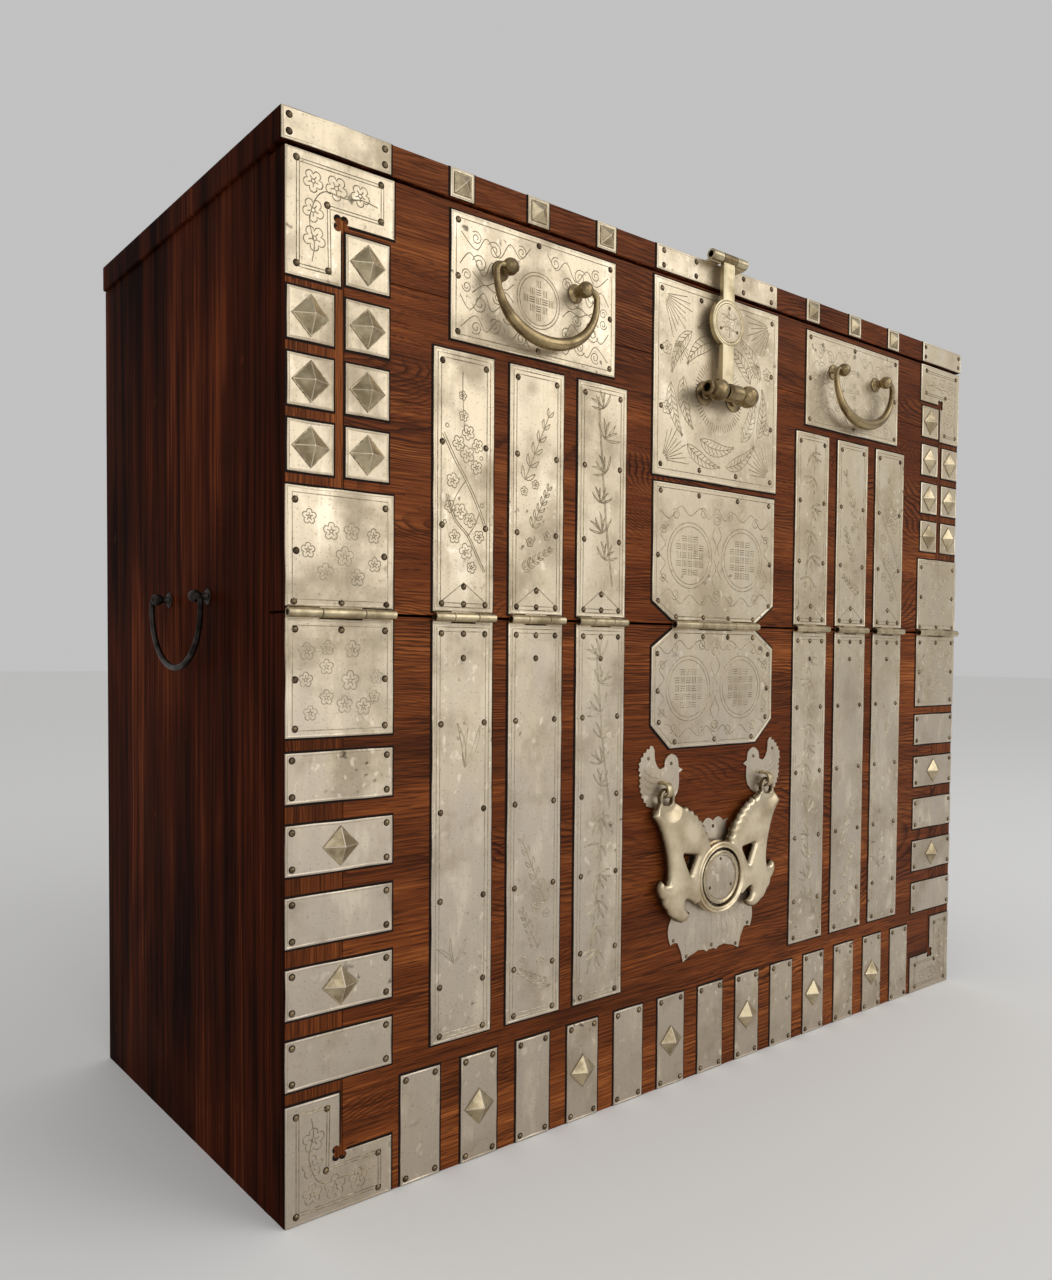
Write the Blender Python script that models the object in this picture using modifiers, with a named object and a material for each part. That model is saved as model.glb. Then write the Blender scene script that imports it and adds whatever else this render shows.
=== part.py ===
"""Bandaji chest: a plank box with a drop flap on nine face hinges, a hasp and five handles.

Metres, +Z up. The origin is the centre of the footprint on the floor, the front looks to -Y.
"""

import math

import bmesh
import bpy
import numpy as np
from mathutils import Matrix, Vector

# Box
WIDTH = 1.000
DEPTH = 0.430
HEIGHT = 0.860
TOP_THICK = 0.026
TOP_LIP = 0.003
SIDE_THICK = 0.022
FRONT_THICK = 0.026
BACK_THICK = 0.012
BOTTOM_THICK = 0.018
TONGUE_THICK = 0.007
TONGUE_LONG = 0.008
REBATE = 0.010
HINGE_Z = 0.480
BOARD_GAP = 0.002
FLAP_GAP = 0.003
STRIP_WIDE = 0.050
RAIL_TALL = 0.082
SEAM_WIDE = 0.0008
SEAM_DEEP = 0.001
FIT = 0.0003

# Plates and studs
PLATE = 0.0012
PLATE_SINK = 0.0005
PLATE_EDGE = 0.0005
CORNER_WIDE = 0.0955
CORNER_LEG = 0.047
TREFOIL_REACH = 0.0042
TREFOIL_LOBE = 0.0034
STUD_WIDE = 0.0395
STUD_PITCH = 0.050
STUD_RADIUS = 0.0164
STUD_HIGH = 0.008
STUD_TIP = 0.06
STUD_EDGE = 0.002
COLUMN_TALL = 0.0395
COLUMN_PITCH = 0.056
ROW_WIDE = 0.0395
ROW_TALL = 0.094
ROW_PITCH = 0.062
TOP_PLATE_TALL = 0.0245
TOP_STUD_WIDE = 0.0245
TOP_STUD_PITCH = 0.0845
TOP_STUD_RADIUS = 0.0122
TOP_STUD_HIGH = 0.006

# Hinges
KNUCKLE_RADIUS = 0.004
KNUCKLE_OFF = 0.0005
KNUCKLE_SHARE = 0.4
KNUCKLE_GAP = 0.0004
LEAF_GAP = 0.0006
HINGE_PIN = 0.0017
HINGE_PLAY = 0.0006
PIN_RECESS = 0.004
CORNER_REACH = 0.097
CENTRE_WIDE = 0.194
CENTRE_CHAMFER = (0.030, 0.019)
CENTRE_FOOT_CHAMFER = (0.028, 0.025)
STRAP_COUNT = 3
STRAP_EDGE = 0.039
STRAP_GAP = 0.018
STRAP_FOOT_GAP = 0.019

# Lock and hasp
LOCK_WIDE = 0.198
LOCK_TALL = 0.197
LOCK_TOP_GAP = 0.0035
LOCK_LEAF_GAP = 0.007
LOCK_DROP = 0.109
LOCK_OUT = 0.0195
LOCK_SPREAD = 0.0235
LOCK_SIDE_GAP = 0.00075
LOCK_PIN = 0.0034
LOCK_PLAY = 0.0008
LOCK_PIN_TAIL = 0.0135
LOCK_PIN_NOSE = 0.005
LOCK_NECK_RADIUS = 0.0065
LOCK_NECK_LONG = 0.0175
HASP_WIDE = 0.018
HASP_THICK = 0.005
HASP_OFF = 0.0075
HASP_BARREL_RADIUS = 0.009
HASP_FOOT_SHARE = 0.7
HASP_DISC_RADIUS = 0.025
HASP_DISC_RISE = 0.0745
HASP_INLAY_RADIUS = 0.0195
HASP_INLAY_HIGH = 0.001
CATCH_WIDE = 0.192
CATCH_RISE = 0.0025
CATCH_RADIUS = 0.0055
CATCH_BORE = 0.0034
CATCH_LONG = 0.054
CATCH_KNUCKLE_GAP = 0.0008
CATCH_ARM_THICK = 0.0025

# Turned posts: ball, neck, collar and shank of the lock, the flap bails and the side bails
LOCK_POST = dict(out=LOCK_OUT, ball=0.0115, neck=0.005, collar=0.0125, collar_high=0.002,
                 shank=0.004, deep=0.016)
BAIL_POST = dict(out=0.0145, ball=0.0075, neck=0.0045, collar=0.009, collar_high=0.002,
                 shank=0.003, deep=0.016)
SIDE_POST = dict(out=0.012, ball=0.0055, neck=0.0032, collar=0.007, collar_high=0.0015,
                 shank=0.0025, deep=0.014)

# Bails
GRIP_PLATE_WIDE = 0.192
GRIP_PLATE_TALL = 0.108
GRIP_TOP_GAP = 0.007
GRIP_LEAF_GAP = 0.0095
GRIP_PIVOT_DROP = 0.040
BAIL = dict(half=0.0585, post_half=0.044, drop=0.057, bend=0.007, end=0.003, middle=0.006)
SIDE_BAIL = dict(half=0.060, post_half=0.0465, drop=0.063, bend=0.006, end=0.0024, middle=0.0029)
BAIL_PLAY = 0.0007
BAIL_SWELL = 1.5
BAIL_SQUARE = 0.92
SIDE_GRIP_Z = 0.497
SIDE_GRIP_Y = -0.020
BAIL_STEPS = 16

# Drop handle, sizes from the centre of its ring
DROP_PLATE_GAP = 0.032
DROP_PLATE_FOOT = 0.0865
EYE_X = 0.081
EYE_HOLE = 0.006
EYE_HALF = 0.0072
EYE_SQUARE = 4.0
EYE_BAR = 0.005
EYE_RISE = 0.090
DROP_THICK = 0.009
DROP_CLEAR = 0.0009
RING_WALL = 0.008
RING_BEAD = 0.0036
BOSS_RADIUS = 0.0285
BOSS_HIGH = 0.0125
BOSS_GAP = 0.0025
BOSS_RIM = 0.004
BOSS_DISH = 0.0012
STAPLE_THICK = 0.0026
STAPLE_WIDE = 0.008
STAPLE_CLEAR = 0.0005
STAPLE_DEEP = 0.014
BIRD_LEAF_GAP = 0.0055

# Drop handle: outlines in metres from the centre of its ring, right half
COMB_START = 66
COMB_TEETH = 7
COMB_BULGE = 0.0022
LOBE_BULGE = 0.002
CROWN_BULGE = 0.0045
FOOT_HOLLOW = 0.0012
EYE_WRAP = 20
NOTCH_STEP = 4
WING_COMB = [(0.022, 0.050), (0.031, 0.062)]
WING_EDGE = [(0.085, 0.046), (0.080, 0.028), (0.0785, 0.012), (0.080, 0.003)]
WING_CURL = [(0.0845, 0.003), (0.089, 0.0075), (0.0935, 0.003), (0.0935, -0.004), (0.090, -0.011)]
WING_LOBES = [(0.087, -0.013), (0.080, -0.025), (0.068, -0.036)]
WING_HOOK = [(0.066, -0.038), (0.057, -0.041), (0.049, -0.038), (0.045, -0.032)]
WING_NOTCH = [(0.049, -0.030), (0.054, -0.024), (0.053, -0.018), (0.046, -0.0195), (0.038, -0.025)]
WING_PIERCING = [(0.057, 0.030), (0.037, 0.027), (0.047, 0.009)]
PLATE_CROWN = [(0.0, 0.0585), (0.0165, 0.0575)]
PLATE_FLANK = [(0.0255, 0.0595), (0.0215, 0.049), (0.044, 0.010), (0.060, -0.030), (0.0675, -0.045),
               (0.068, -0.056), (0.0645, -0.0655)]
PLATE_FOOT = [(0.0645, -0.0655), (0.054, -0.0645), (0.045, -0.0865), (0.0255, -0.0795),
              (0.0165, -0.0785), (0.0075, -0.082), (0.0, -0.080)]

# Upper end of a wing from the centre of its eye, and a bird plate from its staple's axis, right side
COMB_TOP = [(-0.038, -0.017), (-0.024, -0.010)]
SPIKE = [(0.021, -0.016), (0.011, -0.028)]
BIRD_TAIL = [(0.013, 0.045), (0.019, 0.0415), (0.025, 0.037), (0.0315, 0.026), (0.0295, 0.015),
             (0.030, 0.005), (0.0255, -0.007), (0.018, -0.016)]
BIRD_BREAST = [(0.018, -0.016), (0.004, -0.020), (-0.013, -0.014), (-0.024, -0.005), (-0.0265, 0.006),
               (-0.026, 0.0155)]
FEATHER_COUNT = 13
FEATHER_POINT = 0.0024
BIRD_BEAK = (-0.032, 0.0185)
BIRD_CROWN = [(-0.0255, 0.022), (-0.024, 0.031), (-0.015, 0.036), (-0.006, 0.031), (-0.0045, 0.023)]
BIRD_BACK = [(-0.0045, 0.023), (0.003, 0.021), (0.0095, 0.030), (0.0105, 0.041)]
BIRD_HEAD = max(z for x, z in BIRD_CROWN)

# Where the main faces lie
FRONT_Y = -DEPTH / 2
BACK_Y = DEPTH / 2
BODY_HALF = WIDTH / 2 - TOP_LIP
INNER_HALF = BODY_HALF - SIDE_THICK
UNDER_TOP = HEIGHT - TOP_THICK
FLAP_FOOT = HINGE_Z + BOARD_GAP / 2
FLAP_TOP = UNDER_TOP - FLAP_GAP
SIDE_FRONT = FRONT_Y + FRONT_THICK + FIT
PLATE_FACE = FRONT_Y - FIT - PLATE
AXIS_Y = FRONT_Y - KNUCKLE_OFF - KNUCKLE_RADIUS
LEAF_START = KNUCKLE_RADIUS + LEAF_GAP
CORNER_IN = BODY_HALF - PLATE_EDGE - CORNER_WIDE
BAY_START = CENTRE_WIDE / 2
BAY_MID = (BAY_START + CORNER_IN) / 2
GRIP_FOOT = FLAP_TOP - GRIP_TOP_GAP - GRIP_PLATE_TALL
LOCK_FOOT = FLAP_TOP - LOCK_TOP_GAP - LOCK_TALL
LOCK_Z = FLAP_TOP - LOCK_DROP
LOCK_Y = PLATE_FACE - LOCK_OUT
CATCH_Z = HEIGHT + CATCH_RISE
CATCH_Y = PLATE_FACE - HASP_OFF - HASP_THICK / 2
RING_Z = ROW_TALL + DROP_PLATE_GAP + DROP_PLATE_FOOT
RING_HOLE = BOSS_RADIUS + BOSS_GAP
RING_OUTER = RING_HOLE + RING_WALL
EYE_TURN = math.hypot(EYE_BAR, DROP_THICK) / 2
DROP_OFF = EYE_TURN + DROP_CLEAR
STAPLE_INNER = EYE_TURN + STAPLE_CLEAR
DROP_AXIS_Z = RING_Z + EYE_RISE + EYE_HOLE + EYE_BAR / 2
DROP_AXIS_Y = PLATE_FACE - DROP_OFF
BAIL_Y = PLATE_FACE - BAIL_POST["out"]
BAIL_Z = FLAP_TOP - GRIP_TOP_GAP - GRIP_PIVOT_DROP

for old in list(bpy.data.objects):
    bpy.data.objects.remove(old)


def new_collection(name):
    made = bpy.data.collections.new(name)
    bpy.context.scene.collection.children.link(made)
    return made


CHEST = new_collection("bandaji_chest")
CUTTERS = new_collection("cutters")


def finish(name, colour, roughness, metallic=0.0):
    made = bpy.data.materials.new(name)
    made.use_nodes = True
    shader = made.node_tree.nodes["Principled BSDF"]
    shader.inputs["Base Color"].default_value = (*colour, 1.0)
    shader.inputs["Roughness"].default_value = roughness
    shader.inputs["Metallic"].default_value = metallic
    return made


FRONT_WOOD = finish("zelkova_front", (0.155, 0.045, 0.016), 0.35)
CASE_WOOD = finish("stained_case", (0.052, 0.014, 0.007), 0.38)
PALE_METAL = finish("pale_nickel_brass", (0.56, 0.50, 0.37), 0.38, 1.0)
OLD_BRASS = finish("antique_brass", (0.36, 0.27, 0.14), 0.36, 1.0)
DARK_IRON = finish("dark_iron", (0.035, 0.030, 0.028), 0.5, 1.0)


# Helpers that place pieces


def origin_of(obj):
    return obj.location + (origin_of(obj.parent) if obj.parent else Vector())


def place(obj, at, parent=None, group=CHEST):
    group.objects.link(obj)
    obj.location = Vector(at) - (origin_of(parent) if parent else Vector())
    obj.parent = parent
    return obj


def axis_empty(name, at, parent=None):
    return place(bpy.data.objects.new(name, None), at, parent)


def from_bmesh(bm, name, at, look, parent=None, group=CHEST):
    bmesh.ops.recalc_face_normals(bm, faces=bm.faces)
    mesh = bpy.data.meshes.new(name)
    bm.to_mesh(mesh)
    bm.free()
    mesh.materials.append(look)
    return place(bpy.data.objects.new(name, mesh), at, parent, group)


def as_cutter(obj):
    obj.hide_render = True
    obj.display_type = "WIRE"
    return obj


def tool_from(bm, name, look=PALE_METAL):
    return as_cutter(from_bmesh(bm, name, (0, 0, 0), look, group=CUTTERS))


def boolean(obj, tool, operation, self_union=False):
    made = obj.modifiers.new(tool.name, "BOOLEAN")
    made.operation = operation
    made.solver = "EXACT"
    made.use_self = self_union
    made.material_mode = "TRANSFER"
    made.object = tool


def cut(obj, tool, self_union=False):
    boolean(obj, tool, "DIFFERENCE", self_union)


def fuse(obj, tool):
    boolean(obj, tool, "UNION")


# Helpers that add a shape to a bmesh


def add_box(bm, low, high):
    low, high = Vector(low), Vector(high)
    size = Matrix.Diagonal((*(high - low), 1.0))
    bmesh.ops.create_cube(bm, size=1.0, matrix=Matrix.Translation((low + high) / 2) @ size)


def add_rod(bm, start, end, radius, sides=12):
    start, end = Vector(start), Vector(end)
    along = end - start
    turn = along.to_track_quat("Z", "Y").to_matrix().to_4x4()
    bmesh.ops.create_cone(bm, cap_ends=True, segments=sides, radius1=radius, radius2=radius,
                          depth=along.length, matrix=Matrix.Translation((start + end) / 2) @ turn)


def add_outline(bm, loops, thick, at=(0, 0, 0)):
    """A flat plate standing in the XZ plane: the first loop is its edge, the others are holes."""
    curve = bpy.data.curves.new("outline", "CURVE")
    curve.dimensions = "2D"
    curve.fill_mode = "BOTH"
    curve.extrude = thick / 2
    for loop in loops:
        spline = curve.splines.new("POLY")
        spline.points.add(len(loop) - 1)
        for point, (x, z) in zip(spline.points, loop):
            point.co = (x, z, 0.0, 1.0)
        spline.use_cyclic_u = True
    holder = place(bpy.data.objects.new("outline", curve), (0, 0, 0), group=CUTTERS)
    graph = bpy.context.evaluated_depsgraph_get()
    mesh = bpy.data.meshes.new_from_object(holder.evaluated_get(graph))
    mesh.transform(Matrix.Translation(at) @ Matrix.Rotation(math.pi / 2, 4, "X"))
    bm.from_mesh(mesh)
    bmesh.ops.remove_doubles(bm, verts=bm.verts, dist=1e-6)
    bpy.data.objects.remove(holder)
    bpy.data.curves.remove(curve)
    bpy.data.meshes.remove(mesh)


# Outlines as lists of (x, z)


def arc(centre, radius, start, stop, steps):
    """Points on a circle, from angle start to angle stop in degrees, both ends included."""
    turns = [math.radians(start + (stop - start) * i / steps) for i in range(steps + 1)]
    return [(centre[0] + radius * math.cos(a), centre[1] + radius * math.sin(a)) for a in turns]


def circle(centre, radius, sides):
    return arc(centre, radius, 0, 360 - 360 / sides, sides - 1)


def scallop(start, end, bulge, steps=3):
    """A row of points from start up to, not including, end, bowed to the left by bulge."""
    start, end = Vector(start), Vector(end)
    side = Vector((start.y - end.y, end.x - start.x)).normalized()
    shares = [i / steps for i in range(steps)]
    return [tuple(start.lerp(end, s) + side * bulge * 4 * s * (1 - s)) for s in shares]


def scallops(corners, bulge, steps=3):
    pairs = zip(corners, corners[1:])
    return [p for a, b in pairs for p in scallop(a, b, bulge, steps)] + [corners[-1]]


def smooth(points, steps=3):
    """A Catmull-Rom curve through the points, both ends included."""
    ends = [Vector(points[0]), *[Vector(p) for p in points], Vector(points[-1])]
    found = []
    for a, b, c, d in zip(ends, ends[1:], ends[2:], ends[3:]):
        for i in range(steps):
            t = i / steps
            found.append(0.5 * (2 * b + (c - a) * t + (2 * a - 5 * b + 4 * c - d) * t * t
                                + (3 * b - a - 3 * c + d) * t ** 3))
    return [tuple(p) for p in found] + [tuple(points[-1])]


def evenly(points, count):
    """Ends of equal steps along a smooth curve through the points."""
    fine = np.array(smooth(points, 12))
    runs = np.concatenate(([0.0], np.cumsum(np.linalg.norm(np.diff(fine, axis=0), axis=1))))
    goals = np.linspace(0.0, runs[-1], count + 1)
    return [(float(np.interp(g, runs, fine[:, 0])), float(np.interp(g, runs, fine[:, 1]))) for g in goals]


def squared_oval(centre, wide, tall, power, sides):
    """A hole between an oval and a rectangle: the higher the power, the squarer its corners."""
    found = []
    for x, z in circle((0, 0), 1.0, sides):
        reach = (abs(x) ** power + abs(z) ** power) ** (-1 / power)
        found.append((centre[0] + wide * x * reach, centre[1] + tall * z * reach))
    return found


def mirrored(points):
    return [(-x, z) for x, z in reversed(points)]


def rectangle(x0, z0, x1, z1):
    return [(x0, z0), (x1, z0), (x1, z1), (x0, z1)]


def trefoil_notch(centre, outward, steps=18):
    """The edge of three touching lobes round centre, from one leg of an L to the other."""
    lobes = [outward - 90, outward, outward + 90]
    points = []
    for i in range(steps + 1):
        turn = outward - 135 + 270 * i / steps
        reach = 0.0
        for lobe in lobes:
            off = math.radians(turn - lobe)
            inside = TREFOIL_LOBE ** 2 - (TREFOIL_REACH * math.sin(off)) ** 2
            if inside >= 0 and math.cos(off) > 0:
                reach = max(reach, TREFOIL_REACH * math.cos(off) + math.sqrt(inside))
        points.append((centre[0] + reach * math.cos(math.radians(turn)),
                       centre[1] + reach * math.sin(math.radians(turn))))
    return points


def corner_plate(x_sign, z_sign, corner):
    """An L plate with its outer corner at corner and a trefoil cut into its inner corner."""
    notch = trefoil_notch((-CORNER_LEG, -CORNER_LEG), 45)
    loop = [(0, 0), (0, -CORNER_WIDE), (-CORNER_LEG, -CORNER_WIDE), *notch,
            (-CORNER_WIDE, -CORNER_LEG), (-CORNER_WIDE, 0)]
    return [(corner[0] + x_sign * x, corner[1] + z_sign * z) for x, z in loop]


# Boards


def make_side(name, sign):
    tall = UNDER_TOP - FIT
    mid = SIDE_THICK / 2
    tongue = TONGUE_THICK / 2
    groove = BOTTOM_THICK / 2
    half = TONGUE_THICK / 2 + FIT
    loop = [(0, 0), (SIDE_THICK, 0), (SIDE_THICK, tall), (mid + tongue, tall),
            (mid + tongue, tall + TONGUE_LONG), (mid - tongue, tall + TONGUE_LONG),
            (mid - tongue, tall), (0, tall), (0, groove + half),
            (TONGUE_LONG + FIT, groove + half), (TONGUE_LONG + FIT, groove - half), (0, groove - half)]
    bm = bmesh.new()
    add_outline(bm, [[(sign * x, z) for x, z in loop]], BACK_Y - SIDE_FRONT)
    at = (sign * INNER_HALF, (SIDE_FRONT + BACK_Y) / 2, 0)
    return from_bmesh(bm, name, at, CASE_WOOD)


def make_bottom_board():
    half = INNER_HALF - FIT
    tongue = TONGUE_THICK / 2
    mid = BOTTOM_THICK / 2
    right = [(half, 0), (half, mid - tongue), (half + TONGUE_LONG, mid - tongue),
             (half + TONGUE_LONG, mid + tongue), (half, mid + tongue), (half, BOTTOM_THICK)]
    front, back = SIDE_FRONT, BACK_Y - BACK_THICK - FIT
    bm = bmesh.new()
    add_outline(bm, [right + mirrored(right)], back - front)
    return from_bmesh(bm, "bottom_board", (0, (front + back) / 2, 0), CASE_WOOD)


def make_board(name, low, high, look, parent=None):
    low, high = Vector(low), Vector(high)
    bm = bmesh.new()
    add_box(bm, (low - high) / 2, (high - low) / 2)
    return from_bmesh(bm, name, (low + high) / 2, look, parent)


def make_case():
    sides = [make_side("left_side", -1), make_side("right_side", 1)]
    make_bottom_board()
    back_half = INNER_HALF + REBATE
    bm = bmesh.new()
    add_box(bm, (-back_half, BACK_Y - BACK_THICK - FIT, -TONGUE_LONG),
            (back_half, BACK_Y + TONGUE_LONG, HEIGHT + TONGUE_LONG))
    rebate = tool_from(bm, "back_rebate")
    for side in sides:
        cut(side, rebate)
    make_board("back_board", (FIT - back_half, BACK_Y - BACK_THICK, 0),
               (back_half - FIT, BACK_Y, UNDER_TOP - FIT), CASE_WOOD)


def make_top_board():
    top = make_board("top_board", (-WIDTH / 2, FRONT_Y, UNDER_TOP), (WIDTH / 2, BACK_Y, HEIGHT), CASE_WOOD)
    middle = INNER_HALF + SIDE_THICK / 2
    half = TONGUE_THICK / 2 + FIT
    bm = bmesh.new()
    for sign in (-1, 1):
        add_box(bm, (sign * middle - half, SIDE_FRONT - FIT, UNDER_TOP - TONGUE_LONG),
                (sign * middle + half, BACK_Y + TONGUE_LONG, UNDER_TOP + TONGUE_LONG + FIT))
    cut(top, tool_from(bm, "top_grooves"))
    plates, studs = bmesh.new(), bmesh.new()
    middle_z = (UNDER_TOP + HEIGHT) / 2
    for sign in (-1, 1):
        end = sign * (WIDTH / 2 - PLATE_EDGE)
        add_plate(plates, end - sign * CORNER_WIDE / 2, middle_z, CORNER_WIDE, TOP_PLATE_TALL)
        for step in (-1, 0, 1):
            x = sign * (BAY_MID + step * TOP_STUD_PITCH)
            add_plate(plates, x, middle_z, TOP_STUD_WIDE, TOP_STUD_WIDE)
            add_stud(studs, x, middle_z, TOP_STUD_RADIUS, TOP_STUD_HIGH, upright=True)
    fuse(top, tool_from(plates, "top_plates"))
    fuse(top, tool_from(studs, "top_studs"))


# Nailed plates, let into the board that carries them


def add_plate(bm, x, z, wide, tall):
    add_box(bm, (x - wide / 2, FRONT_Y - PLATE, z - tall / 2),
            (x + wide / 2, FRONT_Y + PLATE_SINK, z + tall / 2))


def add_corner_plate(bm, x_sign, z_sign, corner):
    loop = corner_plate(x_sign, z_sign, corner)
    add_outline(bm, [loop], PLATE + PLATE_SINK, (0, FRONT_Y + (PLATE_SINK - PLATE) / 2, 0))


def add_stud(bm, x, z, radius, high, upright=False):
    """A pyramid on a plate, standing on a point unless upright."""
    spin = Matrix.Rotation(math.pi / 4 if upright else 0.0, 4, "Z")
    lie = Matrix.Rotation(math.pi / 2, 4, "X")
    base = PLATE_SINK
    at = Matrix.Translation((x, FRONT_Y - PLATE + base - (high + base) / 2, z))
    bmesh.ops.create_cone(bm, cap_ends=True, segments=4, radius1=radius, radius2=radius * STUD_TIP,
                          depth=high + base, matrix=at @ lie @ spin)


def cut_seams(board, foot, top, rail=None):
    """Shallow grooves where end strips, and a top rail if any, are glued to the panel."""
    inner = BODY_HALF - STRIP_WIDE
    front, back = FRONT_Y - SEAM_DEEP, FRONT_Y + SEAM_DEEP
    bm = bmesh.new()
    for sign in (-1, 1):
        add_box(bm, (sign * inner - SEAM_WIDE / 2, front, foot - SEAM_DEEP),
                (sign * inner + SEAM_WIDE / 2, back, top + SEAM_DEEP))
    cut(board, tool_from(bm, board.name + "_strip_seams", FRONT_WOOD))
    if rail:
        bm = bmesh.new()
        add_box(bm, (-inner, front, rail - SEAM_WIDE / 2), (inner, back, rail + SEAM_WIDE / 2))
        cut(board, tool_from(bm, board.name + "_rail_seam", FRONT_WOOD))


def make_flap(axis):
    flap = make_board("flap_board", (-BODY_HALF, FRONT_Y, FLAP_FOOT),
                      (BODY_HALF, FRONT_Y + FRONT_THICK, FLAP_TOP), FRONT_WOOD, axis)
    cut_seams(flap, FLAP_FOOT, FLAP_TOP, FLAP_TOP - RAIL_TALL)
    plates, studs = bmesh.new(), bmesh.new()
    start = HINGE_Z + CORNER_REACH + STUD_PITCH - STUD_WIDE / 2
    corner_z = FLAP_TOP - PLATE_EDGE
    outer = BODY_HALF - STUD_EDGE - STUD_WIDE / 2
    columns = [(outer, corner_z - CORNER_WIDE), (outer - STUD_PITCH, corner_z - CORNER_LEG)]
    for sign in (-1, 1):
        add_corner_plate(plates, sign, 1, (sign * (BODY_HALF - PLATE_EDGE), corner_z))
        for x, limit in columns:
            for row in range(int((limit - HINGE_Z - CORNER_REACH) / STUD_PITCH)):
                z = start + row * STUD_PITCH
                add_plate(plates, sign * x, z, STUD_WIDE, STUD_WIDE)
                add_stud(studs, sign * x, z, STUD_RADIUS, STUD_HIGH)
    fuse(flap, tool_from(plates, "flap_plates"))
    fuse(flap, tool_from(studs, "flap_studs"))
    return flap


def make_front_board():
    front = make_board("front_board", (-BODY_HALF, FRONT_Y, 0),
                       (BODY_HALF, FRONT_Y + FRONT_THICK, HINGE_Z - BOARD_GAP / 2), FRONT_WOOD)
    cut_seams(front, 0, HINGE_Z - BOARD_GAP / 2)
    plates, studs = bmesh.new(), bmesh.new()
    low, high = PLATE_EDGE + CORNER_WIDE, HINGE_Z - CORNER_REACH
    count = int((high - low) / COLUMN_PITCH)
    start = (low + high - (count - 1) * COLUMN_PITCH) / 2
    x = BODY_HALF - PLATE_EDGE - CORNER_WIDE / 2
    for sign in (-1, 1):
        add_corner_plate(plates, sign, -1, (sign * (BODY_HALF - PLATE_EDGE), PLATE_EDGE))
        for row in range(count):
            z = start + row * COLUMN_PITCH
            add_plate(plates, sign * x, z, CORNER_WIDE, COLUMN_TALL)
            if row % 2:
                add_stud(studs, sign * x, z, STUD_RADIUS, STUD_HIGH)
    reach = int((CORNER_IN - ROW_WIDE / 2) / ROW_PITCH)
    for k in range(-reach, reach + 1):
        add_plate(plates, k * ROW_PITCH, PLATE_EDGE + ROW_TALL / 2, ROW_WIDE, ROW_TALL)
        if k % 2:
            add_stud(studs, k * ROW_PITCH, ROW_TALL / 2, STUD_RADIUS, STUD_HIGH)
    fuse(front, tool_from(plates, "front_plates"))
    fuse(front, tool_from(studs, "front_studs"))
    return front


# Hinges


def leaf_outline(wide, barrel, reach, tab, foot_chamfer=(0.0, 0.0)):
    """A leaf's outline with the barrel side at z 0: tabs run down to the axis, upper leaves have one."""
    half, edge = wide / 2, barrel / 2
    side = CENTRE_CHAMFER[1] if barrel < wide else 0.0
    right = [(half, LEAF_START + side)] if side else []
    fx, fz = foot_chamfer
    right += [(half, reach - fz), (half - fx, reach)] if fx else [(half, reach)]
    if tab == "middle":
        span = barrel * KNUCKLE_SHARE / 2 - KNUCKLE_GAP / 2
        right = [(span, 0), (span, LEAF_START), (edge, LEAF_START)] + right
    else:
        span = barrel * KNUCKLE_SHARE / 2 + KNUCKLE_GAP / 2
        right = [(span, LEAF_START), (span, 0), (edge, 0)] + right
        if side:
            right.insert(3, (edge, LEAF_START))
    return right + mirrored(right)


def add_knuckles(bm, barrel, tab):
    inner = barrel * KNUCKLE_SHARE / 2
    if tab == "middle":
        spans = [(KNUCKLE_GAP / 2 - inner, inner - KNUCKLE_GAP / 2)]
    else:
        spans = [(-barrel / 2, -inner - KNUCKLE_GAP / 2), (inner + KNUCKLE_GAP / 2, barrel / 2)]
    for start, end in spans:
        add_rod(bm, (start, 0, 0), (end, 0, 0), KNUCKLE_RADIUS)


def make_leaf(name, x, wide, barrel, reach, upper, bore, parent=None, foot_chamfer=(0.0, 0.0)):
    tab = "middle" if upper else "ends"
    loop = leaf_outline(wide, barrel, reach, tab, foot_chamfer)
    if not upper:
        loop = [(px, -pz) for px, pz in loop]
    bm = bmesh.new()
    add_outline(bm, [loop], PLATE, (0, FRONT_Y - FIT - PLATE / 2 - AXIS_Y, 0))
    add_knuckles(bm, barrel, tab)
    leaf = from_bmesh(bm, name, (x, AXIS_Y, HINGE_Z), PALE_METAL, parent)
    cut(leaf, bore, self_union=True)
    return leaf


def make_hinge(name, x, wide, barrel, up, down, bore, axis, foot_chamfer=(0.0, 0.0)):
    make_leaf(name + "_upper_leaf", x, wide, barrel, up, True, bore, axis)
    make_leaf(name + "_lower_leaf", x, wide, barrel, down, False, bore, foot_chamfer=foot_chamfer)
    bm = bmesh.new()
    half = barrel / 2 - PIN_RECESS
    add_rod(bm, (-half, 0, 0), (half, 0, 0), HINGE_PIN, 10)
    from_bmesh(bm, name + "_pin", (x, AXIS_Y, HINGE_Z), DARK_IRON)


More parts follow.
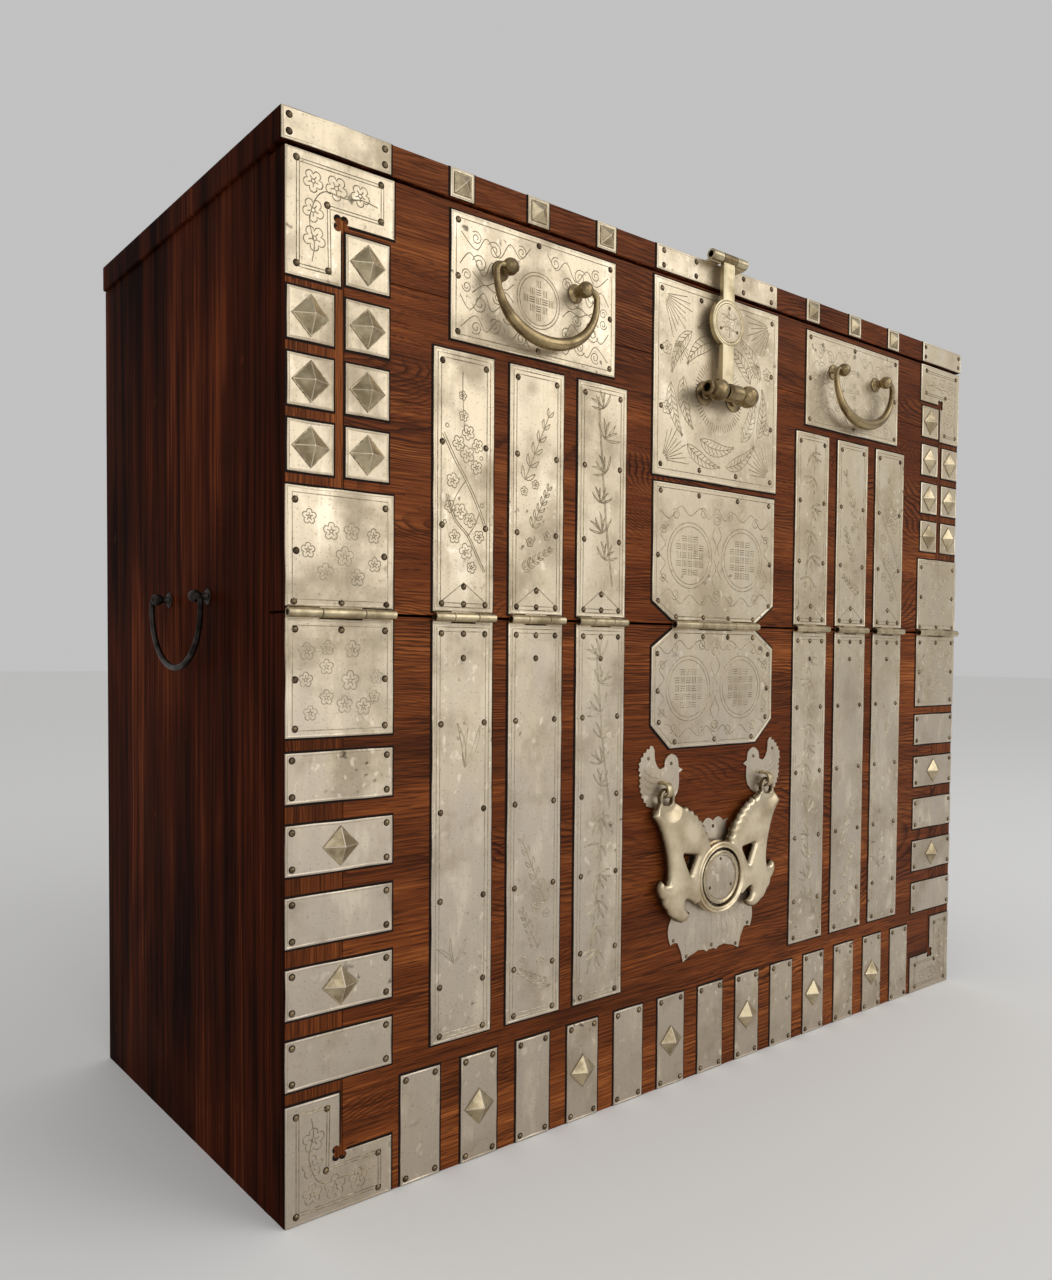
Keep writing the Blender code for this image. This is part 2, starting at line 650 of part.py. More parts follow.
def make_hinges(axis):
    bm = bmesh.new()
    add_rod(bm, (-WIDTH, AXIS_Y, HINGE_Z), (WIDTH, AXIS_Y, HINGE_Z), HINGE_PIN + HINGE_PLAY, 10)
    bore = tool_from(bm, "hinge_bore")
    strap = (CORNER_IN - BAY_START - 2 * STRAP_EDGE - (STRAP_COUNT - 1) * STRAP_GAP) / STRAP_COUNT
    strap_up = GRIP_FOOT - GRIP_LEAF_GAP - HINGE_Z
    strap_down = HINGE_Z - ROW_TALL - STRAP_FOOT_GAP
    for side, sign in (("left", -1), ("right", 1)):
        x = sign * (BODY_HALF - PLATE_EDGE - CORNER_WIDE / 2)
        make_hinge(f"{side}_corner_hinge", x, CORNER_WIDE, CORNER_WIDE, CORNER_REACH, CORNER_REACH, bore,
                   axis)
        for k in range(STRAP_COUNT):
            x = sign * (BAY_START + STRAP_EDGE + strap / 2 + k * (strap + STRAP_GAP))
            make_hinge(f"{side}_strap_hinge_{k + 1}", x, strap, strap, strap_up, strap_down, bore, axis)
    barrel = CENTRE_WIDE - 2 * CENTRE_CHAMFER[0]
    up = LOCK_FOOT - LOCK_LEAF_GAP - HINGE_Z
    down = HINGE_Z - DROP_AXIS_Z - BIRD_HEAD - BIRD_LEAF_GAP
    make_hinge("centre_hinge", 0, CENTRE_WIDE, barrel, up, down, bore, axis, CENTRE_FOOT_CHAMFER)


# Turned posts and bails


def post_profile(out, ball, neck, collar, collar_high, shank, deep, steps=5):
    """Radius and height from the top of the ball to the end of the shank, with z 0 at the plate."""
    stop = 90 - math.degrees(math.acos(neck / ball))
    ball_arc = arc((0, out), ball, 90, stop - 90, steps)
    ball_arc[0] = (0.0, out + ball)
    return ball_arc + [(neck, collar_high), (collar, collar_high), (collar, FIT), (shank, FIT),
                       (shank, -deep), (0.0, -deep)]


def make_post(name, at, turn, spec, look, parent=None):
    profile = post_profile(**spec)
    bm = bmesh.new()
    verts = [bm.verts.new((r, 0, z)) for r, z in profile]
    for a, b in zip(verts, verts[1:]):
        bm.edges.new((a, b))
    mesh = bpy.data.meshes.new(name)
    bm.to_mesh(mesh)
    bm.free()
    mesh.materials.append(look)
    post = place(bpy.data.objects.new(name, mesh), at, parent)
    post.rotation_euler = turn
    screw = post.modifiers.new("turned", "SCREW")
    screw.axis = "Z"
    screw.steps = screw.render_steps = 12
    screw.use_merge_vertices = True
    screw.merge_threshold = 0.00001
    return post


def bail_path(half, post_half, drop, bend, end, middle, inner):
    """Points and radii of half a bail, from the pin's inner end down to the lowest point."""
    points = [(inner, 0.0, end), (half - bend, 0.0, end)]
    corner = arc((half - bend, -bend), bend, 90, 0, 3)
    points += [(x, z, end) for x, z in corner[1:]]
    for i in range(1, BAIL_STEPS // 2 + 1):
        turn = math.pi * i / BAIL_STEPS
        swell = math.sin(turn) ** BAIL_SWELL
        points.append((half * math.cos(turn), -bend - (drop - bend) * math.sin(turn) ** BAIL_SQUARE,
                       end + (middle - end) * swell))
    return points


def make_bail(name, axis, along, spec, post_spec, look):
    """A bail hung on its axis empty; along is the unit vector from its centre to one post."""
    inner = spec["post_half"] - post_spec["ball"] - FIT
    half = bail_path(inner=inner, **spec)
    path = half + [(-x, z, r) for x, z, r in reversed(half[:-1])]
    curve = bpy.data.curves.new(name, "CURVE")
    curve.dimensions = "3D"
    curve.bevel_depth = 1.0
    curve.bevel_resolution = 2
    curve.use_fill_caps = True
    spline = curve.splines.new("POLY")
    spline.points.add(len(path) - 1)
    for point, (x, z, radius) in zip(spline.points, path):
        point.co = (*(Vector(along) * x + Vector((0, 0, z))), 1.0)
        point.radius = radius
    curve.materials.append(look)
    place(bpy.data.objects.new(name, curve), origin_of(axis), axis)


def rod_tool(name, start, end, radius, sides=12):
    bm = bmesh.new()
    add_rod(bm, start, end, radius, sides)
    return tool_from(bm, name)


def shank_holes(name, places, direction, spec):
    """Cutters for shanks that go in at each place, against direction, from the plate inwards."""
    bm = bmesh.new()
    for at in places:
        out = Vector(direction) * spec["collar"]
        add_rod(bm, Vector(at) + out, Vector(at) - Vector(direction) * (spec["deep"] + FIT),
                spec["shank"] + FIT)
    return tool_from(bm, name)


def make_flap_handle(side, sign, axis, flap):
    x = sign * BAY_MID
    base = f"{side}_flap_handle"
    bm = bmesh.new()
    half = GRIP_PLATE_WIDE / 2
    add_outline(bm, [rectangle(-half, 0, half, GRIP_PLATE_TALL)], PLATE)
    plate = from_bmesh(bm, base + "_plate", (x, PLATE_FACE + PLATE / 2, GRIP_FOOT), PALE_METAL, axis)
    spots = [(x + step * BAIL["post_half"], PLATE_FACE, BAIL_Z) for step in (-1, 1)]
    holes = shank_holes(base + "_holes", spots, (0, -1, 0), BAIL_POST)
    cut(plate, holes)
    cut(flap, holes)
    reach = BAIL["half"]
    bore = rod_tool(base + "_bore", (x - reach, BAIL_Y, BAIL_Z), (x + reach, BAIL_Y, BAIL_Z),
                    BAIL["end"] + BAIL_PLAY)
    for label, spot in zip(("left", "right"), spots):
        post = make_post(f"{base}_{label}_post", spot, (math.pi / 2, 0, 0), BAIL_POST, OLD_BRASS, axis)
        cut(post, bore)
    pivot = axis_empty(base + "_axis", (x, BAIL_Y, BAIL_Z), axis)
    make_bail(base + "_bail", pivot, (1, 0, 0), BAIL, BAIL_POST, OLD_BRASS)


def make_side_handle(side, sign):
    base = f"{side}_side_handle"
    board = bpy.data.objects[f"{side}_side"]
    face = sign * BODY_HALF
    spots = [(face, SIDE_GRIP_Y + step * SIDE_BAIL["post_half"], SIDE_GRIP_Z) for step in (-1, 1)]
    cut(board, shank_holes(base + "_holes", spots, (sign, 0, 0), SIDE_POST))
    out = face + sign * SIDE_POST["out"]
    reach = SIDE_BAIL["half"]
    bore = rod_tool(base + "_bore", (out, SIDE_GRIP_Y - reach, SIDE_GRIP_Z),
                    (out, SIDE_GRIP_Y + reach, SIDE_GRIP_Z), SIDE_BAIL["end"] + BAIL_PLAY)
    for label, spot in zip(("front", "back"), spots):
        post = make_post(f"{base}_{label}_post", spot, (0, sign * math.pi / 2, 0), SIDE_POST, DARK_IRON)
        cut(post, bore)
    pivot = axis_empty(base + "_axis", (out, SIDE_GRIP_Y, SIDE_GRIP_Z))
    make_bail(base + "_bail", pivot, (0, 1, 0), SIDE_BAIL, SIDE_POST, DARK_IRON)


# Lock and hasp


def make_lock(axis, flap):
    half = LOCK_WIDE / 2
    bm = bmesh.new()
    add_outline(bm, [rectangle(-half, 0, half, LOCK_TALL)], PLATE)
    plate = from_bmesh(bm, "lock_plate", (0, PLATE_FACE + PLATE / 2, LOCK_FOOT), PALE_METAL, axis)
    spots = [(step * LOCK_SPREAD, PLATE_FACE, LOCK_Z) for step in (-1, 1)]
    holes = shank_holes("lock_holes", spots, (0, -1, 0), LOCK_POST)
    cut(plate, holes)
    cut(flap, holes)
    nose, tail = LOCK_SPREAD + LOCK_PIN_NOSE, -LOCK_SPREAD - LOCK_PIN_TAIL
    neck_end = -LOCK_SPREAD - LOCK_NECK_LONG
    bore = rod_tool("lock_bore", (2 * neck_end, LOCK_Y, LOCK_Z), (nose + FIT, LOCK_Y, LOCK_Z),
                    LOCK_PIN + LOCK_PLAY)
    neck = rod_tool("lock_neck", (-LOCK_SPREAD, LOCK_Y, LOCK_Z), (neck_end, LOCK_Y, LOCK_Z),
                    LOCK_NECK_RADIUS)
    for label, spot in zip(("left", "right"), spots):
        post = make_post(f"{label}_lock_post", spot, (math.pi / 2, 0, 0), LOCK_POST, OLD_BRASS, axis)
        if label == "left":
            fuse(post, neck)
        cut(post, bore)
    pivot = axis_empty("hasp_axis", (0, LOCK_Y, LOCK_Z), axis)
    bm = bmesh.new()
    add_rod(bm, (tail, 0, 0), (nose, 0, 0), LOCK_PIN)
    from_bmesh(bm, "lock_pin", (0, LOCK_Y, LOCK_Z), DARK_IRON, axis)
    make_hasp(pivot, bore)


def hasp_outline():
    """Strap and medallion, with z 0 on the lower barrel's axis."""
    half = HASP_WIDE / 2
    meet = math.degrees(math.asin(half / HASP_DISC_RADIUS))
    centre = (0, HASP_DISC_RISE)
    disc = arc(centre, HASP_DISC_RADIUS, meet - 90, 90 - meet, 14)
    right = [(half, 0), *disc, (half, CATCH_Z - LOCK_Z)]
    return right + mirrored(right)


def make_hasp(pivot, bore):
    bm = bmesh.new()
    back = PLATE_FACE - HASP_OFF - LOCK_Y
    add_outline(bm, [hasp_outline()], HASP_THICK, (0, back - HASP_THICK / 2, 0))
    half = LOCK_SPREAD - LOCK_POST["ball"] - LOCK_SIDE_GAP
    add_rod(bm, (-half, 0, 0), (half, 0, 0), HASP_BARREL_RADIUS)
    foot = HASP_WIDE / 2 - FIT
    add_box(bm, (-foot, 0, 0), (foot, back - HASP_THICK / 2, HASP_BARREL_RADIUS * HASP_FOOT_SHARE))
    top = (CATCH_Y - LOCK_Y, CATCH_Z - LOCK_Z)
    half = HASP_WIDE / 2 + CATCH_KNUCKLE_GAP
    add_rod(bm, (-half, *top), (half, *top), CATCH_RADIUS)
    face = back - HASP_THICK
    add_rod(bm, (0, face + HASP_THICK / 2, HASP_DISC_RISE), (0, face - HASP_INLAY_HIGH, HASP_DISC_RISE),
            HASP_INLAY_RADIUS, 28)
    hasp = from_bmesh(bm, "hasp", origin_of(pivot), OLD_BRASS, pivot)
    cut(hasp, bore, self_union=True)
    cut(hasp, catch_bore())


def catch_bore():
    made = bpy.data.objects.get("catch_bore")
    reach = CATCH_LONG
    return made or rod_tool("catch_bore", (-reach, CATCH_Y, CATCH_Z), (reach, CATCH_Y, CATCH_Z), CATCH_BORE)


def make_catch_plate():
    bm = bmesh.new()
    half = CATCH_WIDE / 2
    middle = (UNDER_TOP + HEIGHT) / 2
    add_box(bm, (-half, PLATE_FACE, middle - TOP_PLATE_TALL / 2),
            (half, FRONT_Y - FIT, middle + TOP_PLATE_TALL / 2))
    inner = HASP_WIDE / 2 + 2 * CATCH_KNUCKLE_GAP
    foot = middle + TOP_PLATE_TALL / 2 - CATCH_ARM_THICK
    for sign in (-1, 1):
        start, end = sign * inner, sign * CATCH_LONG / 2
        add_rod(bm, (start, CATCH_Y, CATCH_Z), (end, CATCH_Y, CATCH_Z), CATCH_RADIUS)
        add_box(bm, (min(start, end) + FIT, CATCH_Y, foot - PLATE_SINK),
                (max(start, end) - FIT, PLATE_FACE + PLATE / 2, foot - PLATE_SINK + CATCH_ARM_THICK))
    plate = from_bmesh(bm, "catch_plate", (0, 0, 0), PALE_METAL)
    cut(plate, catch_bore(), self_union=True)


# Drop handle


def shifted(points, by):
    return [(x + by[0], z + by[1]) for x, z in points]


def drop_outline():
    eye = (EYE_X, EYE_RISE)
    top = arc((0, 0), RING_OUTER, 180 - COMB_START, COMB_START, 4)
    comb = evenly([top[-1], *WING_COMB, *shifted(COMB_TOP, eye)], COMB_TEETH)
    wing = scallops(comb, COMB_BULGE)
    wing += arc(eye, EYE_HOLE + EYE_BAR, 180 + EYE_WRAP, -EYE_WRAP, 10)
    wing += smooth(shifted(SPIKE, eye) + WING_EDGE) + smooth(WING_CURL, 2)
    wing += scallops(WING_LOBES, LOBE_BULGE) + smooth(WING_HOOK, 2) + smooth(WING_NOTCH, 2)
    low = math.degrees(math.atan2(WING_NOTCH[-1][1], WING_NOTCH[-1][0])) - NOTCH_STEP
    under = arc((0, 0), RING_OUTER, low, -180 - low, 12)
    return wing + under + mirrored(wing) + top[1:-1]


def make_drop_handle():
    pivot = axis_empty("drop_handle_axis", (0, DROP_AXIS_Y, DROP_AXIS_Z))
    loops = [drop_outline(), circle((0, 0), RING_HOLE, 28)]
    for sign in (-1, 1):
        loops.append(squared_oval((sign * EYE_X, EYE_RISE), EYE_HALF, EYE_HOLE, EYE_SQUARE, 16))
        loops.append([(sign * x, z) for x, z in WING_PIERCING])
    bm = bmesh.new()
    drop = RING_Z - DROP_AXIS_Z
    add_outline(bm, loops, DROP_THICK, (0, 0, drop))
    handle = from_bmesh(bm, "drop_handle", origin_of(pivot), OLD_BRASS, pivot)
    bpy.ops.mesh.primitive_torus_add(major_radius=RING_HOLE + RING_WALL / 2, minor_radius=RING_BEAD,
                                     major_segments=24, minor_segments=8, rotation=(math.pi / 2, 0, 0),
                                     location=(0, DROP_AXIS_Y - DROP_THICK / 2, RING_Z))
    bead = bpy.context.object
    bead.name = "ring_bead"
    bpy.context.collection.objects.unlink(bead)
    CUTTERS.objects.link(bead)
    bead.data.materials.append(OLD_BRASS)
    fuse(handle, as_cutter(bead))


def make_drop_plates(front):
    bm = bmesh.new()
    right = scallops(PLATE_CROWN, CROWN_BULGE, 5) + smooth(PLATE_FLANK, 2)[:-1]
    right += scallops(PLATE_FOOT, -FOOT_HOLLOW, 2)
    add_outline(bm, [right + mirrored(right)[1:-1]], PLATE)
    plate = from_bmesh(bm, "drop_back_plate", (0, PLATE_FACE + PLATE / 2, RING_Z), PALE_METAL)
    fuse(plate, rod_tool("drop_boss", (0, PLATE_FACE + PLATE / 2, RING_Z),
                         (0, PLATE_FACE - BOSS_HIGH, RING_Z), BOSS_RADIUS, 28))
    dish = PLATE_FACE - BOSS_HIGH
    cut(plate, rod_tool("boss_dish", (0, dish + BOSS_DISH, RING_Z), (0, dish - BOSS_DISH, RING_Z),
                        BOSS_RADIUS - BOSS_RIM, 28))
    bm = bmesh.new()
    for sign in (-1, 1):
        for step in (-1, 1):
            x, z = sign * EYE_X, DROP_AXIS_Z + step * (STAPLE_INNER + STAPLE_THICK / 2)
            half_wide, half_thick = STAPLE_WIDE / 2 + FIT, STAPLE_THICK / 2 + FIT
            add_box(bm, (x - half_wide, DROP_AXIS_Y, z - half_thick),
                    (x + half_wide, PLATE_FACE + STAPLE_DEEP + FIT, z + half_thick))
    holes = tool_from(bm, "staple_holes")
    cut(front, holes)
    loop = scallops(evenly(BIRD_TAIL, FEATHER_COUNT), FEATHER_POINT, 2)
    loop += smooth(BIRD_BREAST, 2)[1:] + [BIRD_BEAK]
    loop += smooth(BIRD_CROWN, 2) + smooth(BIRD_BACK, 2)[1:]
    for side, sign in (("left", -1), ("right", 1)):
        bm = bmesh.new()
        add_outline(bm, [[(sign * x, z) for x, z in loop]], PLATE)
        at = (sign * EYE_X, PLATE_FACE + PLATE / 2, DROP_AXIS_Z)
        bird = from_bmesh(bm, f"{side}_bird_plate", at, PALE_METAL)
        cut(bird, holes)
        make_staple(f"{side}_drop_staple", sign * EYE_X)


def make_staple(name, x):
    """A U of strap round the bar of the handle's eye, its legs driven into the front board."""
    outer = STAPLE_INNER + STAPLE_THICK
    legs = DROP_OFF + STAPLE_DEEP
    loop = [(legs, outer), *arc((0, 0), outer, 90, 270, 8), (legs, -outer),
            (legs, -STAPLE_INNER), *arc((0, 0), STAPLE_INNER, 270, 90, 8), (legs, STAPLE_INNER)]
    bm = bmesh.new()
    add_outline(bm, [loop], STAPLE_WIDE)
    bmesh.ops.rotate(bm, cent=(0, 0, 0), matrix=Matrix.Rotation(math.pi / 2, 3, "Z"), verts=bm.verts)
    from_bmesh(bm, name, (x, DROP_AXIS_Y, DROP_AXIS_Z), OLD_BRASS)


def main():
    make_case()
    make_top_board()
    flap_axis = axis_empty("flap_axis", (0, AXIS_Y, HINGE_Z))
    flap = make_flap(flap_axis)
    front = make_front_board()
    make_hinges(flap_axis)
    make_catch_plate()
    make_lock(flap_axis, flap)
    for side, sign in (("left", -1), ("right", 1)):
        make_flap_handle(side, sign, flap_axis, flap)
        make_side_handle(side, sign)
    make_drop_plates(front)
    make_drop_handle()


main()
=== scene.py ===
import math
import random

import bmesh
import bpy
from mathutils import Matrix, Vector, kdtree


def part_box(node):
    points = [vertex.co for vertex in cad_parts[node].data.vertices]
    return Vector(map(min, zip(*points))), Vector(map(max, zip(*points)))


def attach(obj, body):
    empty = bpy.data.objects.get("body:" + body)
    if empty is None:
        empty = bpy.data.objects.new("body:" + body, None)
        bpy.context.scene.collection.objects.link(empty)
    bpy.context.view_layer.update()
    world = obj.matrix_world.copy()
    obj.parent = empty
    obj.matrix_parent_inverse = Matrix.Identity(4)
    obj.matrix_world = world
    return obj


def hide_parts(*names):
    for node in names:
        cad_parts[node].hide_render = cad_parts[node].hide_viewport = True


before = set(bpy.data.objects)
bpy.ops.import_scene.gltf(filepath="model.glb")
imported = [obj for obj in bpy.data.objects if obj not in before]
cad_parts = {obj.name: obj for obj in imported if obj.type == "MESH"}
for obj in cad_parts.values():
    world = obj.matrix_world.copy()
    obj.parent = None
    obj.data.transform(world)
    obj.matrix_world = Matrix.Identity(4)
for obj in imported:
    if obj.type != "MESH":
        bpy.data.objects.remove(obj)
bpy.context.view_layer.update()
mm = 0.001
sides = (("left", -1), ("right", 1))
print("frame loaded:", len(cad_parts), "nodes")


# shader helpers

class Wire:
    def __init__(self, finish, socket):
        self.finish = finish
        self.socket = socket

    def calc(self, operation, first, second):
        return self.finish.node("Math", {"operation": operation}, {0: first, 1: second})

    def __add__(self, other):
        return self.calc("ADD", self, other)

    def __sub__(self, other):
        return self.calc("SUBTRACT", self, other)

    def __rsub__(self, other):
        return self.calc("SUBTRACT", other, self)

    def __mul__(self, other):
        return self.calc("MULTIPLY", self, other)

    def __truediv__(self, other):
        return self.calc("DIVIDE", self, other)

    def __rtruediv__(self, other):
        return self.calc("DIVIDE", other, self)

    def __pow__(self, other):
        return self.calc("POWER", self, other)

    def __rpow__(self, other):
        return self.calc("POWER", other, self)

    __radd__ = __add__
    __rmul__ = __mul__


class Nodes:
    def __init__(self, tree):
        self.tree = tree

    def node(self, kind, settings=None, sockets=None, output=0):
        made = self.tree.nodes.new("ShaderNode" + kind)
        for key, value in (settings or {}).items():
            if key == "stops":
                while len(made.color_ramp.elements) < len(value):
                    made.color_ramp.elements.new(0.5)
                for stop, (at, colour) in zip(made.color_ramp.elements, value):
                    stop.position = at
                    stop.color = (*colour, 1.0)
            else:
                setattr(made, key, value)
        for key, value in (sockets or {}).items():
            self.feed(made.inputs[key], value)
        return Wire(self, made.outputs[output])

    def also(self, wire, output):
        return Wire(self, wire.socket.node.outputs[output])

    def feed(self, socket, value):
        if isinstance(value, Wire):
            self.tree.links.new(value.socket, socket)
        else:
            socket.default_value = value


class Finish(Nodes):
    def __init__(self, name, **fixed):
        self.look = bpy.data.materials.new(name)
        self.look.use_nodes = True
        super().__init__(self.look.node_tree)
        self.shader = self.tree.nodes["Principled BSDF"]
        self.drive(**fixed)
        self.place = self.node("TexCoord", output="Object")

    def drive(self, **sockets):
        for key, value in sockets.items():
            self.feed(self.shader.inputs[key.replace("_", " ")], value)

    def mapped(self, scale=(1, 1, 1), turn=(0, 0, 0), shift=(0, 0, 0), source=None):
        return self.node("Mapping", {}, {"Vector": source or self.place, "Scale": scale,
                                         "Rotation": turn, "Location": shift})

    def noise(self, scale, detail, source=None, rough=0.5, twist=0.0):
        return self.node("TexNoise", {}, {"Vector": self.mapped(scale, source=source), "Scale": 1.0,
                                          "Detail": detail, "Roughness": rough, "Distortion": twist})

    def ease(self, value, low, high):
        return self.node("MapRange", {"interpolation_type": "SMOOTHSTEP"},
                         {"Value": value, "From Min": low, "From Max": high})

    def mix(self, factor, first, second):       # sockets 6, 7 and 2 are the ones for colours
        first, second = [c if isinstance(c, Wire) else (*c, 1.0) for c in (first, second)]
        return self.node("Mix", {"data_type": "RGBA"}, {0: factor, 6: first, 7: second}, 2)

    def ramp(self, value, *stops):
        return self.node("ValToRGB", {"stops": stops}, {"Fac": value})

    def bump(self, height, distance, under=None):
        sockets = {"Height": height, "Distance": distance}
        if under:
            sockets["Normal"] = under
        return self.node("Bump", {}, sockets)


# finishes: colours, then how fine each figure is along X, Y and Z

zelkovaGrain = {"dark": (0.050, 0.0128, 0.0036), "mid": (0.192, 0.0490, 0.0115),
                "light": (0.460, 0.1480, 0.0370), "line": (0.013, 0.0036, 0.0018),
                "deep": (0.082, 0.0160, 0.0040), "spacing": 0.0034, "slope": 0.11, "heart": 0.05,
                "curl": 0.11, "wander": 0.010, "tone": 1.0, "relief": 0.00022,
                "swirls": (2.6, 3, 7.5), "ripples": (16, 12, 60), "clearings": (3.5, 8, 24),
                "fibres": (12, 200, 520), "pores": (26, 420, 820), "clouds": (2.2, 3, 9),
                "bands": (1.4, 20, 46), "zones": (1.7, 3, 4.5), "sheen": (5, 5, 5)}


def zelkova(name, turn=(0, 0, 0), shift=(0, 0, 0), **own):
    g = {**zelkovaGrain, **own}
    wood = Finish(name, Coat_Roughness=0.3, Specular_IOR_Level=0.05)
    along = wood.mapped(turn=turn, shift=shift)     # grain runs along X from here on
    x = wood.node("SeparateXYZ", {}, {0: along})
    z = wood.also(x, "Z")
    swirl = wood.noise(g["swirls"], 2.0, along) - 0.5
    ripple = wood.noise(g["ripples"], 3.0, along) - 0.5
    across = z + swirl * g["curl"] + ripple * g["wander"]
    lean = x * g["slope"] + g["heart"]
    ring = (across * across + lean * lean) ** 0.5 / g["spacing"]
    late = wood.ease(wood.node("Math", {"operation": "FRACT"}, {0: ring}), 0.35, 0.97)
    clear = wood.ease(wood.noise(g["clearings"], 2.0, along), 0.40, 0.66)   # where the rings stand out
    fibre = wood.noise(g["fibres"], 2.0, along, 0.6)
    pores = wood.ease(wood.noise(g["pores"], 1.0, along), 0.54, 0.66) * (1 - late)
    cloud = wood.noise(g["clouds"], 3.0, along)
    band = wood.noise(g["bands"], 2.0, along)
    figure = cloud * 0.40 + band * 0.24 + fibre * 0.36
    deep = wood.ease(wood.noise(g["zones"], 2.0, along), 0.44, 0.64)        # dark red zones
    colour = wood.ramp(figure, (0.36, g["dark"]), (0.50, g["mid"]), (0.64, g["light"]))
    colour = wood.mix(deep * 0.55, colour, g["deep"])
    colour = wood.mix(late * (clear * 0.72 + 0.16), colour, g["line"])
    colour = wood.mix(pores * 0.7, colour, g["line"])
    colour = wood.mix(1.0 - g["tone"], colour, g["dark"])
    sheen = wood.noise(g["sheen"], 2.0)
    relief = wood.bump(fibre * 0.3 - late * 0.7 - pores * 0.6, g["relief"])
    wood.drive(Base_Color=colour, Roughness=sheen * 0.16 + 0.32 + late * 0.06, Normal=relief,
               Coat_Weight=sheen * 0.035)
    return wood.look


caseStain = {"dark": (0.0090, 0.0022, 0.0011), "mid": (0.056, 0.0112, 0.0038),
             "light": (0.190, 0.0440, 0.0130), "relief": 0.00030,
             "streaks": (1.6, 26, 26), "flames": (3.2, 9, 9), "fibres": (10, 380, 380),
             "veins": (2.4, 95, 95), "patches": (1.1, 2.6, 2.6), "lines": (3, 150, 150),
             "scuffs": (40, 40, 40), "sheen": (6, 6, 6)}


def stainedCase(name, turn=(0, 0, 0), shift=(0, 0, 0)):
    c = caseStain
    wood = Finish(name, Coat_Roughness=0.25, Specular_IOR_Level=0.004)
    along = wood.mapped(turn=turn, shift=shift)
    streak = wood.noise(c["streaks"], 4.0, along, 0.55, 0.3)
    flame = wood.noise(c["flames"], 3.0, along, 0.55, 0.6)
    fibre = wood.noise(c["fibres"], 2.0, along, 0.6)
    vein = wood.noise(c["veins"], 3.0, along, 0.65)
    patch = wood.ease(wood.noise(c["patches"], 2.0, along), 0.35, 0.75)
    tone = streak * 0.30 + flame * 0.26 + vein * 0.26 + fibre * 0.10 + patch * 0.08
    lines = wood.ease(wood.noise(c["lines"], 1.0, along), 0.58, 0.70)
    scuff = wood.ease(wood.noise(c["scuffs"], 4.0), 0.68, 0.80)
    colour = wood.ramp(tone, (0.40, c["dark"]), (0.51, c["mid"]), (0.61, c["light"]))
    colour = wood.mix(lines * 0.7, colour, c["dark"])
    colour = wood.mix(scuff * 0.25, colour, c["light"])
    sheen = wood.noise(c["sheen"], 3.0)
    relief = wood.bump(fibre * 0.5 + streak * 0.5, c["relief"])
    wood.drive(Base_Color=colour, Roughness=sheen * 0.22 + 0.34, Normal=relief, Coat_Weight=sheen * 0.005)
    return wood.look


# rise: the heights over which the painted light from above comes in
plateTone = {"warmAndLit": (0.655, 0.555, 0.400), "cool": (0.545, 0.470, 0.385), "stain": (0.320, 0.255, 0.172),
             "soot": (0.105, 0.082, 0.060), "rubbed": (0.830, 0.740, 0.590), "rise": (0.16, 0.76),
             "clouds": (17, 17, 17), "washes": (5, 5, 7), "patches": (34, 34, 13), "spots": (95, 95, 95),
             "pits": (430, 430, 430), "brushing": (340, 340, 16), "specks": (130, 130, 90),
             "dents": (22, 22, 22), "dentDepth": 0.0005, "scratchDepth": 0.00010}


def plateMetal(name):
    t = plateTone
    metal = Finish(name, Metallic=1.0)
    # painted light: the plates turn warmer and brighter towards the top, as if lit from above
    up = metal.ease(metal.node("SeparateXYZ", {}, {0: metal.place}, "Z"), *t["rise"])
    cloud = metal.noise(t["clouds"], 4.0, rough=0.6)
    wash = metal.noise(t["washes"], 2.0)
    patch = metal.noise(t["patches"], 3.0, rough=0.62)      # long upright patches
    # the warm mask mixes that painted light from above with random warm patches
    warmAndLit = metal.ease(up * 0.5 + wash * 0.6 + patch * 0.7, 0.50, 1.10)
    tarnish = metal.ease(cloud, 0.44, 0.70)
    rubbed = metal.ease(patch, 0.52, 0.70) * (1 - tarnish)
    spots = metal.ease(metal.noise(t["spots"], 2.0), 0.66, 0.76) * metal.ease(wash, 0.45, 0.62)
    pits = metal.ease(metal.noise(t["pits"], 2.0), 0.60, 0.70)
    brushed = metal.noise(t["brushing"], 2.0)
    specks = metal.ease(metal.noise(t["specks"], 3.0), 0.60, 0.68) * metal.ease(wash, 0.40, 0.60)
    colour = metal.mix(warmAndLit, t["cool"], t["warmAndLit"])
    colour = metal.mix(rubbed * 0.55, colour, t["rubbed"])
    colour = metal.mix(tarnish * 0.50 + brushed * 0.14, colour, t["stain"])
    colour = metal.mix(specks * 0.6, colour, t["rubbed"])
    colour = metal.mix(spots * 0.75 + pits * 0.30, colour, t["soot"])
    dents = metal.bump(metal.noise(t["dents"], 1.0), t["dentDepth"])
    scratches = metal.bump(brushed * 0.6 + cloud * 0.4 - pits * 0.5, t["scratchDepth"], dents)
    rough = tarnish * 0.16 + brushed * 0.10 + cloud * 0.10 + spots * 0.2 - rubbed * 0.06 + 0.31
    metal.drive(Base_Color=colour, Normal=scratches, Roughness=rough)
    return metal.look


def agedMetal(name, light, dark, grit, rough, depth, shadedFlank=None):
    metal = Finish(name, Metallic=1.0)
    cloud = metal.noise((grit, grit, grit), 4.0, rough=0.6)
    wash = metal.noise((grit / 5,) * 3, 2.0)
    wear = metal.ease(cloud * 0.6 + wash * 0.4, 0.36, 0.62)
    colour = metal.mix(wear, dark, light)
    if shadedFlank:       # painted shade: the sloping flanks of a domed cast are darkened towards its outline
        raised = metal.node("Attribute", {"attribute_name": "crown"}, output="Fac")
        colour = metal.mix(metal.ease(raised, 0.15, 0.90), shadedFlank, colour)
    relief = metal.bump(cloud, depth)
    metal.drive(Base_Color=colour, Normal=relief, Roughness=rough + 0.22 - wear * 0.22)
    return metal.look
